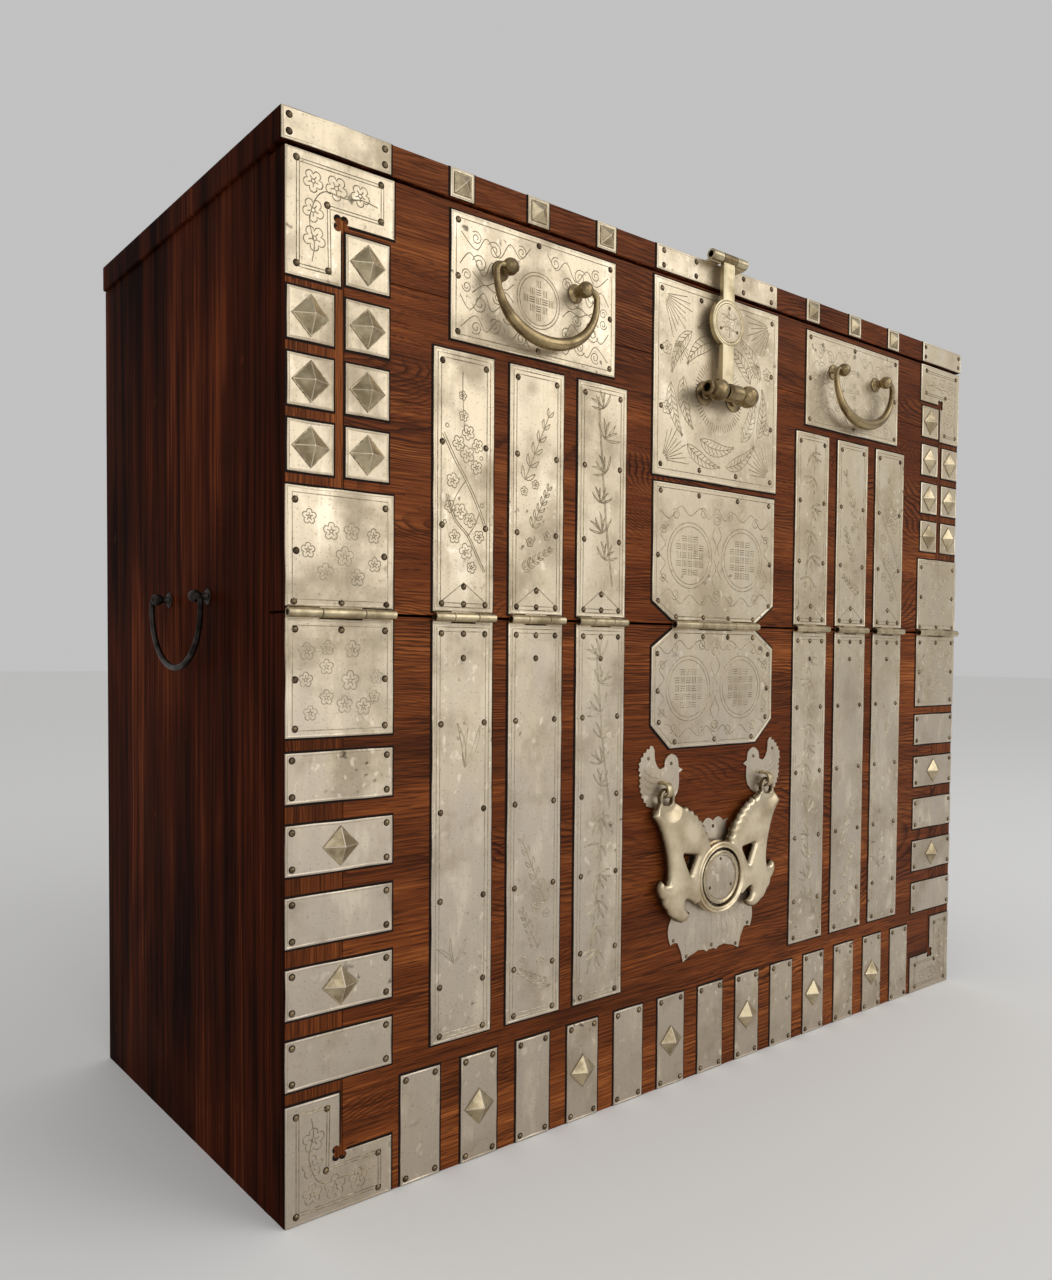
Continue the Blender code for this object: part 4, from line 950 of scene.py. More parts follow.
plum = {"boughs": [([(-22, 0.32), (-10, 0.44), (2, 0.54), (14, 0.66), (22, 0.76)], 2.2),
                   ([(-18, 0.62), (-10, 0.74), (4, 0.82), (14, 0.92), (22, 1.0)], 1.8)],
        "twigs": [[(-2, 0.0), (-2, 0.12), (0, 0.30)], [(2, 0.54), (-8, 0.62), (-14, 0.70)],
                  [(4, 0.82), (12, 0.76), (16, 0.70)]],
        "blossoms": [(-2, 0.12, 4.0), (-1, 0.22, 4.8), (4, 0.30, 6.5), (14, 0.36, 6.0), (-6, 0.36, 6.5),
                     (3, 0.41, 7.5), (13, 0.47, 6.0), (-12, 0.55, 6.5), (-15, 0.68, 5.5), (-4, 0.70, 7.0),
                     (6, 0.74, 6.5), (-10, 0.83, 6.0), (2, 0.90, 7.0), (16, 0.82, 5.5), (8, 0.98, 5.0)],
        "turn": 7, "buds": [(-18, 0.28), (18, 0.42), (19, 0.66), (-20, 0.76)], "bud": 1.8, "budSides": 6}


def plumBranch(x, z0, z1):
    p = plum
    def at(dx, share):
        return (x + dx, z1 - share * (z1 - z0))
    lines = [flow([at(*spot) for spot in twig], 4) for twig in p["twigs"]]
    for bough, thick in p["boughs"]:
        lines += doubled(flow([at(*spot) for spot in bough], 4), thick)
    for dx, share, r in p["blossoms"]:
        lines += blossom(*at(dx, share), r, 90 + dx * p["turn"])
    return lines + [ring(*at(*spot), p["bud"], p["budSides"]) for spot in p["buds"]]


bamboo = {"sprays": [(0.06, -60), (0.22, -120), (0.40, -50), (0.56, -100), (0.72, -70), (0.86, -110)],
          "stray": (-4, 3), "size": (16, 21), "leaves": 6, "fan": 120,
          "stem": [(-14, 0.0), (-4, 0.4), (6, 1.0)], "thick": 1.5}


def bambooSpray(x, z0, z1, sign, seed):
    b = bamboo
    luck = random.Random(seed)
    tall = z1 - z0
    lines = []
    for share, heading in b["sprays"]:
        lines += leafSpray(x + sign * luck.uniform(*b["stray"]), z1 - tall * share, luck.uniform(*b["size"]),
                           heading if sign > 0 else 180 + heading, b["leaves"], b["fan"])
    stalk = flow([(x + sign * dx, z0 + share * tall) for dx, share in b["stem"]], 5)
    return lines + doubled(stalk, b["thick"])


stem = {"pairs": 6, "shrink": 0.07, "splay": 38, "close": 3, "bow": 0.2, "fat": 0.26}


def leafyStem(x0, z0, x1, z1, size):
    # leaves in pairs up a stem
    s = stem
    heading = math.degrees(math.atan2(z1 - z0, x1 - x0))
    lines = [[(x0, z0), ((x0 + x1) / 2, (z0 + z1) / 2), (x1, z1)]]
    for k in range(s["pairs"]):
        share = k / (s["pairs"] - 1)
        x, z = x0 + (x1 - x0) * share, z0 + (z1 - z0) * share
        for side in (-1, 1):
            turn = heading + side * (s["splay"] - s["close"] * k)
            lines += blade(x, z, size * (1 - s["shrink"] * k), turn, side * s["bow"], s["fat"])
    return lines


orchid = {"stems": [(-14, 0.52, 13, 0.86, 13), (-5, 0.28, 13, 0.48, 10), (-16, 0.06, 13, 0.16, 9)],
          "blossoms": [(-15, 0.46), (-2, 0.50), (12, 0.24), (-8, 0.20)], "petal": 4.2}


def orchidSpray(x, z0, z1, sign):
    o = orchid
    tall = z1 - z0
    lines = []
    for x0, foot, x1, tip, size in o["stems"]:
        lines += leafyStem(x + sign * x0, z0 + foot * tall, x + sign * x1, z0 + tip * tall, size)
    for dx, share in o["blossoms"]:
        lines += blossom(x + sign * dx, z0 + share * tall, o["petal"])
    return lines


strap = {"borders": (4.0, 7.6), "column": 23.0, "gable": (8.0, 493.0, 510.0),
         "upper": {"steps": 3, "seed": 80, "look": onLine, "nails": (696, 628, 558, 491.5),
                   "middle": (491.5, 506.5)},
         "lower": {"steps": 4, "seed": 90, "look": onFaint, "middle": (466, 445),
                   "nails": (466, 388.5, 312.5, 236.0, 161.5, 119.0)},
         "plum": (520, 690), "orchid": (515, 690), "bamboo": (515, 695, 10),
         "lowOrchid": (130, 300), "lowBamboo": [(300, 455, 1, 20), (140, 300, -1, 30)],
         "lowLeaves": [(2, 350, 40, 84, 3, 36), (-8, 180, 26, 100, 3, 80)]}


def upperSpray(k, x, half, sign):
    s = strap
    inside, eave, peak = s["gable"]
    lines = [[(x - half + inside, eave), (x, peak), (x + half - inside, eave)]]
    if k == 1:
        z0, z1, seed = s["bamboo"]
        return lines + bambooSpray(x, z0, z1, sign, seed + sign)
    return lines + (orchidSpray(x, *s["orchid"], -sign) if k == 2 else plumBranch(x, *s["plum"]))


def lowerSpray(k, x, sign):
    s = strap
    lines = []
    if k == 1:
        for z0, z1, hand, seed in s["lowBamboo"]:
            lines += bambooSpray(x, z0, z1, hand * sign, seed + sign)
    elif k == 2:
        lines += orchidSpray(x, *s["lowOrchid"], sign)
    else:
        for dx, z, *spray in s["lowLeaves"]:
            lines += leafSpray(x + dx, z, *spray)
    return lines


def makeStraps():
    s = strap
    spots = [(side, sign, k) for side, sign in sides for k in (1, 2, 3)]
    for side, sign, k in spots:
        for part, body, up in leaves:
            own = s[part]
            node = f"{side}_strap_hinge_{k}_{part}_leaf"
            box = leafBox(node, up)
            x, half = (box[0] + box[2]) / 2, (box[2] - box[0]) / 2
            lines = [filled(inset(box, by), own["steps"]) for by in s["borders"]]
            lines += upperSpray(k, x, half, sign) if up > 0 else lowerSpray(k, x, sign)
            nails = [(x + d, z) for z in own["nails"] for d in (-s["column"], s["column"])]
            nails += [(x, z) for z in own["middle"]]
            makeLeaf(node, body, rect(*box), lines, nails, x, 2 * half, up, own["seed"] + k, own["look"])
    print("strap hinges done")


cornerLeaf = {"border": 5.5, "seed": 100,
              "upper": {"nails": [(-40, 86), (40, 86), (-39, 47), (39, 47), (-41, 8), (0, 8), (41, 8)],
                        "blossoms": [(-28, 74, 6), (-9, 64, 7), (9, 65, 7), (29, 63, 6), (3, 45, 8),
                                     (-14, 32, 7), (14, 29, 7), (30, 40, 6), (-29, 48, 6)]},
              "lower": {"nails": [(-40, -13), (0, -13), (40, -13), (-40, -52), (40, -52), (-40, -90),
                                  (40, -90)],
                        "blossoms": [(-30, -30, 7), (-12, -27, 6), (10, -28, 7), (-13, -42, 6),
                                     (-31, -52, 6), (8, -53, 8), (32, -50, 6), (-13, -66, 6), (3, -72, 7),
                                     (20, -74, 7), (-27, -78, 6), (30, -66, 5)]}}


def makeCornerHinges():
    c = cornerLeaf
    z = hinge["z"] / mm
    for side, sign in sides:
        for part, body, up in leaves:
            node = f"{side}_corner_hinge_{part}_leaf"
            box = leafBox(node, up)
            x = (box[0] + box[2]) / 2
            lines = [filled(inset(box, c["border"]), 2)]
            for dx, dz, r in c[part]["blossoms"]:
                lines += blossom(x - sign * dx, z + dz, r)
            nails = [(x + dx, z + dz) for dx, dz in c[part]["nails"]]
            makeLeaf(node, body, rect(*box), lines, nails, x, box[2] - box[0], up, c["seed"] + up, onFaint)
    print("corner hinges done")


centreLeaf = {"half": 97.0, "barrel": 134.0, "shoulder": 19.0, "foot": (28.0, 25.0),
              "border": {"border": 5.0, "nip": 2.0, "clear": 4.0}, "discs": 42.0, "disc": (34, 8.6),
              "scrolls": [(0, 40, 7, 90), (22, 45, 6, 60), (64, 41, 6, 40), (82, 24, 5, 0)],
              "vines": [[(2, 52), (13, 40), (26, 50), (42, 41), (57, 50), (73, 36), (86, 43)],
                        [(74, 30), (86, 20), (79, 10), (88, 1)], [(2, 33), (7, 23), (1, 12), (4, 3)]],
              "upper": {"mid": 72.0, "seed": 120,
                        "nails": [(-87, 135), (-29, 135), (33, 135), (87, 135), (-90, 70), (90, 70),
                                  (-89, 23.5), (89, 23.5), (-62, 8), (-20, 8), (20, 8), (62, 8)]},
              "lower": {"mid": -66.0, "seed": 121,
                        "nails": [(-62, -12), (-20, -12), (20, -12), (62, -12), (-89, -30), (89, -30),
                                  (-88, -68), (88, -68), (-86, -100), (86, -100), (-62, -121), (0, -121),
                                  (62, -121)]}}


def centreUpper(box, border=0.0, nip=0.0, clear=0.0):
    # the upper leaf's outline, or a border line inside it
    c = centreLeaf
    start, top = box[1], box[3] - border
    end, half, shoulder = c["barrel"] / 2 - nip, c["half"] - border, start + c["shoulder"] + nip
    return [(-end, start + clear), (end, start + clear), (half, shoulder), (half, top), (-half, top),
            (-half, shoulder)]


def centreLower(box, border=0.0, nip=0.0, clear=0.0):
    # the same for the lower leaf, whose foot has its corners cut off
    c = centreLeaf
    foot, start = box[1], box[3]
    end, half, shoulder = c["barrel"] / 2 - nip, c["half"] - border, start - c["shoulder"] - nip
    cut, rise = c["half"] - c["foot"][0] - nip, foot + c["foot"][1] + nip
    return [(-half, rise), (-cut, foot + border), (cut, foot + border), (half, rise), (half, shoulder),
            (end, start - clear), (-end, start - clear), (-half, shoulder)]


def makeCentreHinge():
    c = centreLeaf
    z = hinge["z"] / mm
    for part, body, up in leaves:
        own = c[part]
        node = f"centre_hinge_{part}_leaf"
        box = leafBox(node, up)
        outline = centreUpper if up > 0 else centreLower
        edge = outline(box, **c["border"])
        mid = z + own["mid"]
        lines = [edge + edge[:1]] + scrollField(0, mid, c["scrolls"], c["vines"])
        for sign in (-1, 1):
            lines += weaveDisc(sign * c["discs"], mid, *c["disc"])
        nails = [(x, z + dz) for x, dz in own["nails"]]
        makeLeaf(node, body, outline(box), lines, nails, 0.0, c["barrel"], up, own["seed"])
    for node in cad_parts:
        if node.endswith("_pin"):
            dress(node, darkIron)
    print("centre hinge done")


# lock plate, posts and hasp

post = {"base": 0.0003, "arc": 12, "around": 28, "foot": 0.96, "lip": 0.9, "flare": 1.25, "hollow": 1.3}


def addPost(bm, spot, direction, out, style):
    # turned from its foot outwards: collar, neck and ball
    p = post
    ball, neck, collar, high = style["ball"], style["neck"], style["collar"], style["flange"]
    stop = 180 - math.degrees(math.asin(neck / ball))
    turns = [math.radians(stop - stop * i / p["arc"]) for i in range(p["arc"] + 1)]
    profile = [(p["base"], 0.0), (p["base"], collar * p["foot"]), (high / 2, collar),
               (high, collar * p["lip"]), (high * p["hollow"], neck * p["flare"]), (high * 2, neck)]
    profile += [(out + ball * math.cos(a), max(0.0, ball * math.sin(a))) for a in turns]
    addTurned(bm, profile, spot, direction, p["around"])


lock = {"half": 99.0, "foot": 630.5, "top": 827.5, "border": 6.5, "nailsIn": 11.0, "seed": 130,
        "y": -0.236, "z": 0.722, "spread": 0.0235, "ball": 0.0115, "neck": 0.005, "collar": 0.0125,
        "flange": 0.002, "tube": 0.0065, "tubeEnd": -0.041, "pin": 0.0034, "lip": (0.004, 0.003, 0.0006),
        "swell": 1.12,
        "mouth": [(0.0, 0.0046), (0.012, 0.0044)], "around": 28,
        "plumes": [(56, 5, 58, 8.0), (74, 7, 44, 7.0)], "plumeTurn": 1.7, "rays": (30, 38), "rayStep": 6,
        "blossoms": (80, 729, 30, 7),
        "fans": [(-86, 812, 44, -32), (86, 812, 44, 212), (-86, 646, 40, 38), (86, 646, 40, 142),
                 (-66, 770, 24, -65), (66, 770, 24, 245)]}


def lockLines(box):
    k = lock
    z = k["z"] / mm
    lines = [filled(inset(box, k["border"]), 3)]
    for r, count, span, fat in k["plumes"]:     # plumes sweeping round the lock
        for n in range(count):
            lines += feather(0, z, r, 360 * n / count + r * k["plumeTurn"], span, fat)
    for turn in range(0, 360, k["rayStep"]):    # short rays round the posts
        lines.append([polar(0, z, turn, d) for d in k["rays"]])
    for fan in k["fans"]:
        lines += needleFan(*fan)
    x, mid, off, r = k["blossoms"]
    for sx in (-1, 1):
        for sz in (-1, 1):
            lines += blossom(sx * x, mid + sz * off, r)
    return lines


def makeLock():
    k = lock
    box = (-k["half"], k["foot"], k["half"], k["top"])
    bm = bmesh.new()
    addTrim(bm, rect(*box), k["seed"], lockLines(box), edgeNails(box, k["nailsIn"], 4, 4), back=leafBack,
            front=leafFace)
    put("lock_sheet", bm, plateLooks, "flap", "plate_metal", "lock_plate")
    for side, sign in sides:
        bm = bmesh.new()
        addPost(bm, (sign * k["spread"], leafFace, k["z"]), (0, -1, 0), leafFace - k["y"], k)
        if side == "left":      # the open tube that the lock pin is pushed in through
            r, end = k["tube"], k["tubeEnd"]
            back, bead, lip = [end + d for d in k["lip"]]
            profile = [(-k["spread"], k["pin"]), (-k["spread"], r), (back, r), (bead, r * k["swell"]),
                       (lip, r * k["swell"]), (end, r)] + [(end + d, q) for d, q in k["mouth"]]
            addTurned(bm, profile, (0, k["y"], k["z"]), (1, 0, 0), k["around"])
        put(side + "_lock_ball", bm, [castBrass], "flap", "cast_brass", side + "_lock_post")
    print("lock done")


haspLooks = [paleBrass, sheetMetal, chased, nailMetal, castBrass]
onStrap, onInlay, onEngraved, onPeg, onBarrel = range(len(haspLooks))
hasp = {"half": 9.0, "disc": 25.0, "discSteps": 24, "rise": 74.5, "back": -0.224, "face": -0.229,
        "edge": 0.0011, "rings": [(22.8, 1.6, 0.0005, onStrap), (20.0, 1.1, 0.0003, onEngraved)],
        "ringSteps": 40, "inlay": 18.5,
        "sunk": 0.0005, "proud": 0.0003, "flower": 9, "leaves": (4, 13, 3, 150), "lineHigh": 0.0002,
        "pegs": (15, 1.6), "rib": 6.2, "ribWide": 1.0, "ribHigh": 0.0003, "ribEnds": (10, 25, 5),
        "barrel": 0.009, "long": 0.01125, "bore": 0.0036, "step": 0.0011, "around": 28,
        "tongue": (0.0085, 0.0062, 0.0008), "topY": -0.2265, "topZ": 0.8625, "topRadius": 0.0055,
        "topHalf": 0.0098, "topBore": 0.0032, "topRound": 0.0004, "topAround": 24}


def addMedallion(bm, mid):
    # rings, inlaid disc with a flower, and three pegs
    h = hasp
    for r, wide, high, look in h["rings"]:
        addLine(bm, ring(0, mid, r, h["ringSteps"]), wide, h["face"], high, look)
    disc = h["face"] - h["proud"]
    inlay = ring(0, mid, h["inlay"], h["ringSteps"])[:-1]
    addSheet(bm, inlay, h["face"] + h["sunk"], disc, h["proud"], onInlay)
    off, size, count, fan = h["leaves"]
    lines = blossom(0, mid, h["flower"])
    for sign in (-1, 1):
        lines += leafSpray(0, mid + sign * off, size, sign * 90, count, fan)
    for line in lines:
        addLine(bm, line, chase["fine"], disc, h["lineHigh"], onEngraved)
    reach, radius = h["pegs"]
    for turn in (90, 210, 330):
        addNail(bm, *polar(0, mid, turn, reach), disc, radius, onPeg)


def makeHasp():
    h, k = hasp, lock
    foot, mid, top = k["z"] / mm, k["z"] / mm + h["rise"], h["topZ"] / mm
    meet = math.degrees(math.asin(h["half"] / h["disc"]))
    disc = ring(0, mid, h["disc"], h["discSteps"], meet - 90, 180 - 2 * meet)
    right = [(h["half"], foot), *disc, (h["half"], top)]
    bm = bmesh.new()
    addSheet(bm, right + [(-x, z) for x, z in reversed(right)], h["back"], h["face"], h["edge"], onStrap)
    addMedallion(bm, mid)
    low, middle, high = h["ribEnds"]
    for x in (-h["rib"], h["rib"]):     # two ribs down the strap
        for a, b in ((foot + low, mid - middle), (mid + middle, top - high)):
            addLine(bm, [(x, a), (x, (a + b) / 2), (x, b)], h["ribWide"], h["face"], h["ribHigh"], onStrap)
    r, e, n = h["barrel"], h["step"], h["long"]
    end = [(n, h["bore"]), (n, r - 2 * e), (n - e, r - e), (n - 2.2 * e, r - 1.6 * e), (n - 3.4 * e, r)]
    profile = [(-d, q) for d, q in end] + end[::-1]
    addTurned(bm, profile, (0, k["y"], k["z"]), (1, 0, 0), h["around"], onBarrel)
    half, rise, edge = h["tongue"]
    addBoard(bm, (-half, k["y"], k["z"]), (half, h["back"] - h["sunk"], k["z"] + rise), edge)
    profile = knuckle(-h["topHalf"], h["topHalf"], h["topRadius"], h["topBore"], h["topRound"])
    addTurned(bm, profile, (0, h["topY"], h["topZ"]), (1, 0, 0), h["topAround"], onBarrel)
    put("hasp_strap", bm, haspLooks, "hasp", "cast_brass", "hasp")
    print("hasp done")


catch = {"half": 96.0, "z": (834.75, 859.25), "seed": 140, "nails": (38, 86), "nailsIn": 5.0,
         "inner": 0.0106, "end": 0.027, "bore": 0.0034, "round": 0.0004, "pocket": 0.004, "taper": 0.9,
         "tab": (0.8562, 0.8588), "sunk": 0.0005}


def makeCatch():
    c, h = catch, hasp
    bm = bmesh.new()
    low, high = c["z"]
    rows = (low + c["nailsIn"], high - c["nailsIn"])
    nails = [(sign * x, z) for sign in (-1, 1) for x in c["nails"] for z in rows]
    addTrim(bm, rect(-c["half"], low, c["half"], high), c["seed"], (), nails, back=leafBack, front=leafFace)
    bore, edge = c["bore"], c["round"]
    foot, top = c["tab"]
    for sign in (-1, 1):
        a, b = sorted((sign * c["inner"], sign * c["end"]))
        profile = knuckle(a, b, h["topRadius"], bore, edge) + [(a + c["pocket"], bore * c["taper"])]
        addTurned(bm, profile, (0, h["topY"], h["topZ"]), (1, 0, 0), h["topAround"], onStud)
        addBoard(bm, (a + edge, h["topY"], foot), (b - edge, leafBack - c["sunk"], top), edge)
    put("catch_sheet", bm, plateLooks, "chest", "plate_metal", "catch_plate")
    print("catch done")


# bails

bail = {"steps": 28, "corner": 5, "fullness": 0.92, "swell": 1.5, "play": 0.0003}


def bailPath(style):
    # points (across, up, radius) from one post round to the other
    b, s = bail, style
    inner, neck = s["post"] - s["ball"] - b["play"], s["half"] - s["bend"]
    half = [(inner, 0.0, s["end"]), (neck, 0.0, s["end"])]
    for i in range(1, b["corner"] + 1):
        x, z = polar(neck, -s["bend"], 90 - 90 * i / b["corner"], s["bend"])
        half.append((x, z, s["end"]))
    for i in range(1, b["steps"] // 2 + 1):
        t = math.pi * i / b["steps"]
        fall = (s["drop"] - s["bend"]) * math.sin(t) ** b["fullness"]
        half.append((s["half"] * math.cos(t), -s["bend"] - fall,
                     s["end"] + (s["middle"] - s["end"]) * math.sin(t) ** b["swell"]))
    return half + [(-x, z, r) for x, z, r in reversed(half[:-1])]


def makeBail(base, style, bailBody, centre, across, outwards, reach):
    # two turned posts and the rod that hangs between them
    s = style
    for label, step in zip(s["labels"], (-1, 1)):
        bm = bmesh.new()
        addPost(bm, centre + across * step * s["post"] - outwards * reach, outwards, reach, s)
        put(f"{base}_{label}_ball", bm, [s["look"]], s["body"], s["slot"], f"{base}_{label}_post")
    path = bailPath(s)
    spots = [centre + across * off + Vector((0, 0, up)) for off, up, r in path]
    bm = bmesh.new()
    addTube(bm, spots, [r for *_, r in path], outwards, s["around"])
    put(base + "_loop", bm, [s["look"]], bailBody, s["slot"], base + "_bail")


flapBail = {"body": "flap", "slot": "cast_brass", "look": castBrass, "labels": ("left", "right"), "x": 0.249,
            "y": -0.231, "z": 0.784, "post": 0.044, "ball": 0.0075, "neck": 0.0045,
            "collar": 0.009, "flange": 0.002, "half": 0.0585, "drop": 0.057, "bend": 0.007, "end": 0.003,
            "middle": 0.006, "around": 18, "wide": 192.0, "tall": 108.0, "foot": 716.0, "border": 5.0,
            "nailsIn": 7.0, "seed": 150, "disc": (52, 25, 7.4),
            "scrolls": [(34, 22, 7, 20), (46, 8, 6, 0), (50, 32, 8, 30), (66, 17, 8, 10), (70, 38, 6, 50),
                        (80, 5, 5, 0), (20, 38, 6, 60)],
            "vines": [[(10, 44), (21, 32), (33, 42), (45, 27), (59, 40), (70, 28), (86, 40)],
                      [(31, 28), (40, 13), (53, 21), (62, 7), (76, 24), (87, 13)],
                      [(29, 8), (38, 1), (50, 4), (61, 0), (74, 9)]]}


def makeFlapHandles():
    b = flapBail
    rise, radius, cell = b["disc"]
    for side, sign in sides:
        base = f"{side}_flap_handle"
        x, mid = sign * b["x"] / mm, b["foot"] + rise
        box = boxAt(x, b["foot"] + b["tall"] / 2, b["wide"], b["tall"])
        lines = [filled(inset(box, b["border"]), 3)] + weaveDisc(x, mid, radius, cell)
        lines += scrollField(x, mid, b["scrolls"], b["vines"])
        bm = bmesh.new()
        addTrim(bm, rect(*box), b["seed"] + sign, lines, edgeNails(box, b["nailsIn"], 3, 3), back=leafBack,
                front=leafFace, look=onLine if sign < 0 else onFaint)
        put(base + "_sheet", bm, plateLooks, "flap", "plate_metal", base + "_plate")
        makeBail(base, b, f"{side}_flap_bail", Vector((sign * b["x"], b["y"], b["z"])), Vector((1, 0, 0)),
                 Vector((0, -1, 0)), leafFace - b["y"])
    print("flap handles done")


sideBail = {"body": "chest", "slot": "dark_iron", "look": darkIron, "labels": ("front", "back"), "x": 0.509,
            "y": -0.020, "z": 0.497, "post": 0.0465, "ball": 0.0055, "neck": 0.0032,
            "collar": 0.007, "flange": 0.0015, "half": 0.060, "drop": 0.063, "bend": 0.006, "end": 0.0024,
            "middle": 0.0029, "around": 14}


def makeSideHandles():
    b = sideBail
    for side, sign in sides:
        makeBail(f"{side}_side_handle", b, f"{side}_side_bail", Vector((sign * b["x"], b["y"], b["z"])),
                 Vector((0, 1, 0)), Vector((sign, 0, 0)), b["x"] - boards["half"])
    print("side handles done")


# drop handle

drop = {"ring": 212.5, "axisY": -0.22255, "axisZ": 311.0, "eye": (81.0, 302.5), "eyeDepth": 0.0040,
        "eyeReach": 0.013, "swell": 0.32, "round": 0.0036, "crown": 0.0190, "edgeShare": 0.56,
        "front": 0.0080, "back": 0.0040, "voxel": 0.0009, "sample": 0.0006, "thick": 0.007, "rearward": 0.9,
        "rearGap": 0.0002, "smoothing": 2, "lipAround": 64,
        "lip": [(0.001, 0.0313), (-0.0070, 0.0313), (-0.0080, 0.0320), (-0.0083, 0.0330),
                (-0.0078, 0.0339), (-0.0066, 0.0345), (-0.0072, 0.0352), (-0.0079, 0.0364),
                (-0.0074, 0.0378), (-0.0055, 0.0388), (-0.0020, 0.0391), (0.001, 0.0388), (0.001, 0.0313)]}


def edgeFinder(bm):
    # looks up how far a point is from the outline of a flat mesh
    spots = []
    for e in bm.edges:
        if e.is_boundary:
            a, b = e.verts[0].co, e.verts[1].co
            parts = max(1, int((b - a).length / drop["sample"]))
            spots += [a.lerp(b, i / parts) for i in range(parts)]
    near = kdtree.KDTree(len(spots))
    for i, p in enumerate(spots):
        near.insert((p.x, 0, p.z), i)
    near.balance()
    return near


def remeshed(bm, voxel):
    # an even fine skin over the mesh, as a new bmesh
    mesh = bpy.data.meshes.new("puff")
    bm.to_mesh(mesh)
    bm.free()
    holder = bpy.data.objects.new("puff", mesh)
    bpy.context.scene.collection.objects.link(holder)
    skin = holder.modifiers.new("skin", "REMESH")
    skin.mode = "VOXEL"
    skin.voxel_size = voxel
    graph = bpy.context.evaluated_depsgraph_get()
    fine = bpy.data.meshes.new_from_object(holder.evaluated_get(graph))
    bpy.data.objects.remove(holder)
    made = bmesh.new()
    made.from_mesh(fine)
    bpy.data.meshes.remove(fine)
    return made


def puffed(node):
    # the node's outline blown up to a cast form: thick in the middle, rounded to its edges
    d = drop
    flat = merged(node)
    rear = max(v.co.y for v in flat.verts) - d["rearGap"]
    away = [f for f in flat.faces if f.normal.y < d["rearward"] or f.calc_center_median().y < rear]
    bmesh.ops.delete(flat, geom=away, context="FACES")
    near = edgeFinder(flat)
    grown = bmesh.ops.extrude_face_region(flat, geom=flat.faces[:])["geom"]
    front = [g for g in grown if isinstance(g, bmesh.types.BMVert)]
    bmesh.ops.translate(flat, vec=(0, -d["thick"], 0), verts=front)
    outward(flat, flat.faces)
    bm = remeshed(flat, d["voxel"])
    middle = d["axisY"]
    eyes = [Vector((sign * d["eye"][0] * mm, d["eye"][1] * mm)) for sign in (-1, 1)]
    # crown: how far in from the outline each point lies; it shapes the dome and sets where the finish paints
    # shade on the flanks
    crown = bm.verts.layers.float.new("crown")
    for v in bm.verts:
        gap = near.find((v.co.x, 0, v.co.z))[2]
        edge, dome = [math.sqrt(max(0.0, 1 - (1 - min(gap / d[k], 1.0)) ** 2)) for k in ("round", "crown")]
        share = edge * d["edgeShare"] + dome * (1 - d["edgeShare"])
        v[crown] = share
        off = min((Vector((v.co.x, v.co.z)) - eye).length for eye in eyes)
        most = d["eyeDepth"] + max(0.0, off - d["eyeReach"]) * d["swell"]       # thin enough for the staples
        if v.co.y < middle:
            v.co.y = middle - min(share * d["front"], most)
        else:
            v.co.y = middle + min(share * d["back"], most)
    for _ in range(d["smoothing"]):
        bmesh.ops.smooth_vert(bm, verts=bm.verts, factor=0.5, use_axis_x=True, use_axis_y=True,
                              use_axis_z=True)
    finishFaces(bm.faces, 0)
    return bm


staple = {"inner": 0.00565, "outer": 0.00825, "wide": 0.0080, "leg": 0.0200, "edge": 0.0006, "step": 15}


def addStaple(bm, x, z):
    # a flat strap bent over the handle's eye, its two legs going back through plate and board
    s = staple
    turns = list(range(90, 271, s["step"]))
    loop = []
    for r, order in ((s["outer"], turns), (s["inner"], turns[::-1])):
        bow = [polar(0, 0, turn, r) for turn in order]
        loop += [(s["leg"], bow[0][1]), *bow, (s["leg"], bow[-1][1])]
    rim = [bm.verts.new((x - s["wide"] / 2, drop["axisY"] + dy, z + dz)) for dy, dz in loop]
    extruded(bm, rim, (s["wide"], 0, 0))
    softenSharp(bm, s["edge"])
    finishFaces(bm.faces, 0)


backPlate = {"dishFace": -0.2278, "ringSteps": 44,
             "rings": [(26.5, 2.6, -0.2290, 0.0007, onStud), (23.2, 0.9, -0.2278, 0.0003, onLine)],
             "pegs": (19.5, 1.5), "nail": 1.7,
             "nails": [(-60, -61), (60, -61), (-40, -81), (40, -81), (0, 53), (0, -75.5)],
             "combs": 5, "pitch": 9.5, "combTop": 42, "combStep": 4, "combWide": 0.6,
             "comb": [(0.7, 0), (0.9, 14), (0.86, 30)]}


def makeBackPlate():
    p = backPlate
    mid = drop["ring"]
    bm = softCopy("drop_back_plate")
    for r, wide, face, high, look in p["rings"]:
        addLine(bm, ring(0, mid, r, p["ringSteps"]), wide, face, high, look)
    reach, radius = p["pegs"]
    for turn in (90, 210, 330):
        addNail(bm, *polar(0, mid, turn, reach), p["dishFace"], radius)
    for x, z in p["nails"]:
        addNail(bm, x, mid + z, leafFace, p["nail"])
    for k in range(-p["combs"], p["combs"] + 1):        # combed lines down the plate
        x, z = p["pitch"] * k, mid - p["combTop"] - (k % 2) * p["combStep"]
        addLine(bm, flow([(x * share, z - fall) for share, fall in p["comb"]], 4), p["combWide"], leafFace,
                look=onFaint)
    put("drop_back_sheet", bm, plateLooks, "chest", "plate_metal", "drop_back_plate")


bird = {"edge": 0.0003, "nails": [(-14.5, 26, 1.6), (19, 33, 1.5)], "feathers": 5,
        "first": [(4, 12), (15, 14), (26, 22)], "next": [(2, -5), (1, -6), (-1, -8)]}


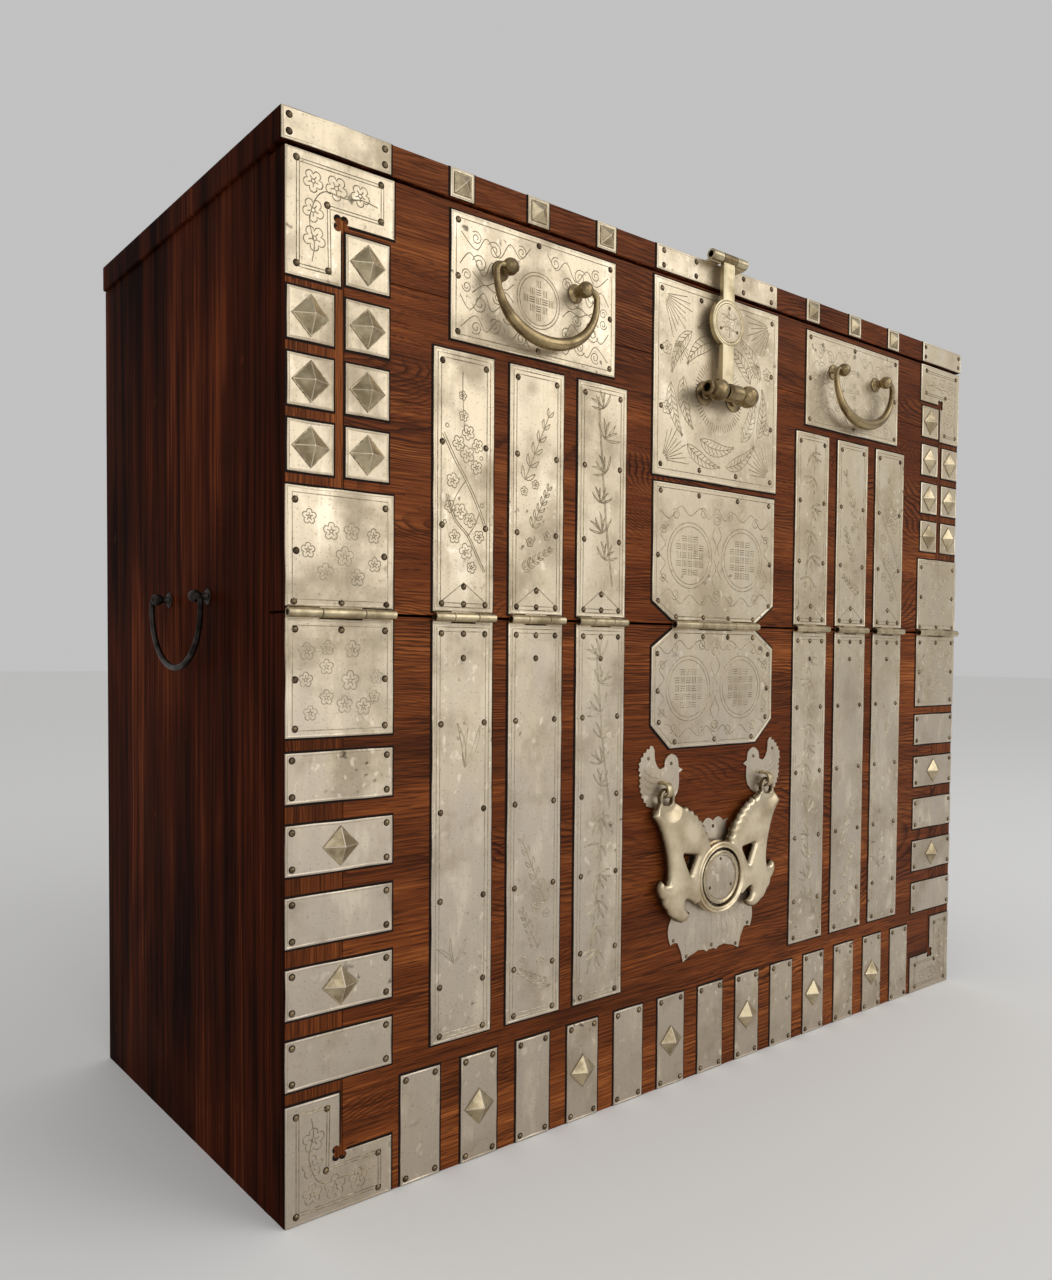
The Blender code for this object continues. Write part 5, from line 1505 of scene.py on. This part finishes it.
def makeBirds():
    # the two bird plates with the staples that hold the handle's eyes
    b = bird
    z = drop["axisZ"]
    for side, sign in sides:
        x = sign * drop["eye"][0]
        bm = softCopy(f"{side}_bird_plate", b["edge"])
        for dx, dz, radius in b["nails"]:
            addNail(bm, x + sign * dx, z + dz, leafFace, radius)
        for k in range(b["feathers"]):
            pairs = zip(b["first"], b["next"])
            quill = [(x + sign * (fx + nx * k), z + fz + nz * k) for (fx, fz), (nx, nz) in pairs]
            addLine(bm, flow(quill, 3), chase["fine"], leafFace)
        put(f"{side}_bird_sheet", bm, plateLooks, "chest", "plate_metal", f"{side}_bird_plate")
        bm = bmesh.new()
        addStaple(bm, x * mm, z * mm)
        put(f"{side}_staple_strap", bm, [paleBrass], "chest", "cast_brass", f"{side}_drop_staple")


def makeDropHandle():
    d = drop
    bm = puffed("drop_handle")
    cast = set(bm.verts)
    lip = [(d["axisY"] + depth, r) for depth, r in d["lip"]]
    addTurned(bm, lip, (0, 0, d["ring"] * mm), (0, 1, 0), d["lipAround"])
    # the ring's lip gets the full crown value, so no painted shade falls on it
    crown = bm.verts.layers.float["crown"]
    for v in bm.verts:
        if v not in cast:
            v[crown] = 1.0
    put("drop_handle_cast", bm, [handleBrass], "drop_grip", "cast_brass", "drop_handle")
    makeBackPlate()
    makeBirds()
    print("drop handle done")


# floor, light and camera

studio = {"floor": (0.87, 0.865, 0.85), "floorRough": 0.85, "floorHalf": 20.0, "world": (0.60, 0.60, 0.60),
          "worldLight": 0.95, "shown": (0.535, 0.535, 0.535)}
lamps = {"key": {"spot": (1.9, -3.0, 2.6), "aim": (0.0, 0.0, 0.45), "size": 3.2, "power": 37.0},
         "front": {"spot": (-1.2, -3.4, 1.5), "aim": (0.0, 0.0, 0.4), "size": 2.6, "power": 17.0},
         "low": {"spot": (0.7, -2.5, 0.75), "aim": (-0.3, -0.2, 0.35), "size": 1.3, "power": 5.0}}
camera = {"spot": (-0.8454, -0.9365, 0.4510), "heading": -39.1, "pitch": -1.86, "roll": 0.44, "lens": 28.74,
          "shift": 0.035, "clip": 60.0}


def makeFloor():
    bm = bmesh.new()
    bmesh.ops.create_grid(bm, x_segments=2, y_segments=2, size=studio["floorHalf"])
    mesh = bpy.data.meshes.new("floor")
    bm.to_mesh(mesh)
    bm.free()
    pale = Finish("pale_floor", Roughness=studio["floorRough"], Base_Color=(*studio["floor"], 1.0))
    mesh.materials.append(pale.look)
    floor = bpy.data.objects.new("floor", mesh)
    bpy.context.scene.collection.objects.link(floor)


def makeLight():
    world = bpy.data.worlds.new("studio")
    bpy.context.scene.world = world
    world.use_nodes = True
    sky = Nodes(world.node_tree)
    rays = sky.node("LightPath", output="Is Camera Ray")
    seen = rays + sky.also(rays, "Is Glossy Ray") + sky.also(rays, "Is Transmission Ray")
    glow = sky.node("Background", {}, {"Color": (*studio["world"], 1.0), "Strength": studio["worldLight"]})
    shown = sky.node("Background", {}, {"Color": (*studio["shown"], 1.0)})
    mixed = sky.node("MixShader", {}, {0: seen, 1: glow, 2: shown})
    sky.feed(sky.tree.nodes["World Output"].inputs["Surface"], mixed)
    for name, s in lamps.items():
        lamp = bpy.data.lights.new(name, "AREA")
        lamp.shape = "DISK"
        lamp.size = s["size"]
        lamp.energy = s["power"]
        holder = bpy.data.objects.new(name, lamp)
        holder.location = s["spot"]
        holder.rotation_euler = (Vector(s["aim"]) - Vector(s["spot"])).to_track_quat("-Z", "Y").to_euler()
        bpy.context.scene.collection.objects.link(holder)


def makeCamera():
    c = camera
    eye = bpy.data.cameras.new("camera")
    eye.lens = c["lens"]
    eye.shift_y = c["shift"]
    eye.clip_end = c["clip"]
    holder = bpy.data.objects.new("camera", eye)
    holder.matrix_world = (Matrix.Translation(c["spot"])
                           @ Matrix.Rotation(math.radians(c["heading"]), 4, "Z")
                           @ Matrix.Rotation(math.radians(90 + c["pitch"]), 4, "X")
                           @ Matrix.Rotation(math.radians(c["roll"]), 4, "Z"))
    bpy.context.scene.collection.objects.link(holder)
    bpy.context.scene.camera = holder
    bpy.context.scene.view_settings.view_transform = "Standard"
    print("stage done")


makeBoards()
makeFlapTrim()
makeFrontTrim()
makeTopTrim()
makeStraps()
makeCornerHinges()
makeCentreHinge()
makeLock()
makeHasp()
makeCatch()
makeFlapHandles()
makeSideHandles()
makeDropHandle()
makeFloor()
makeLight()
makeCamera()
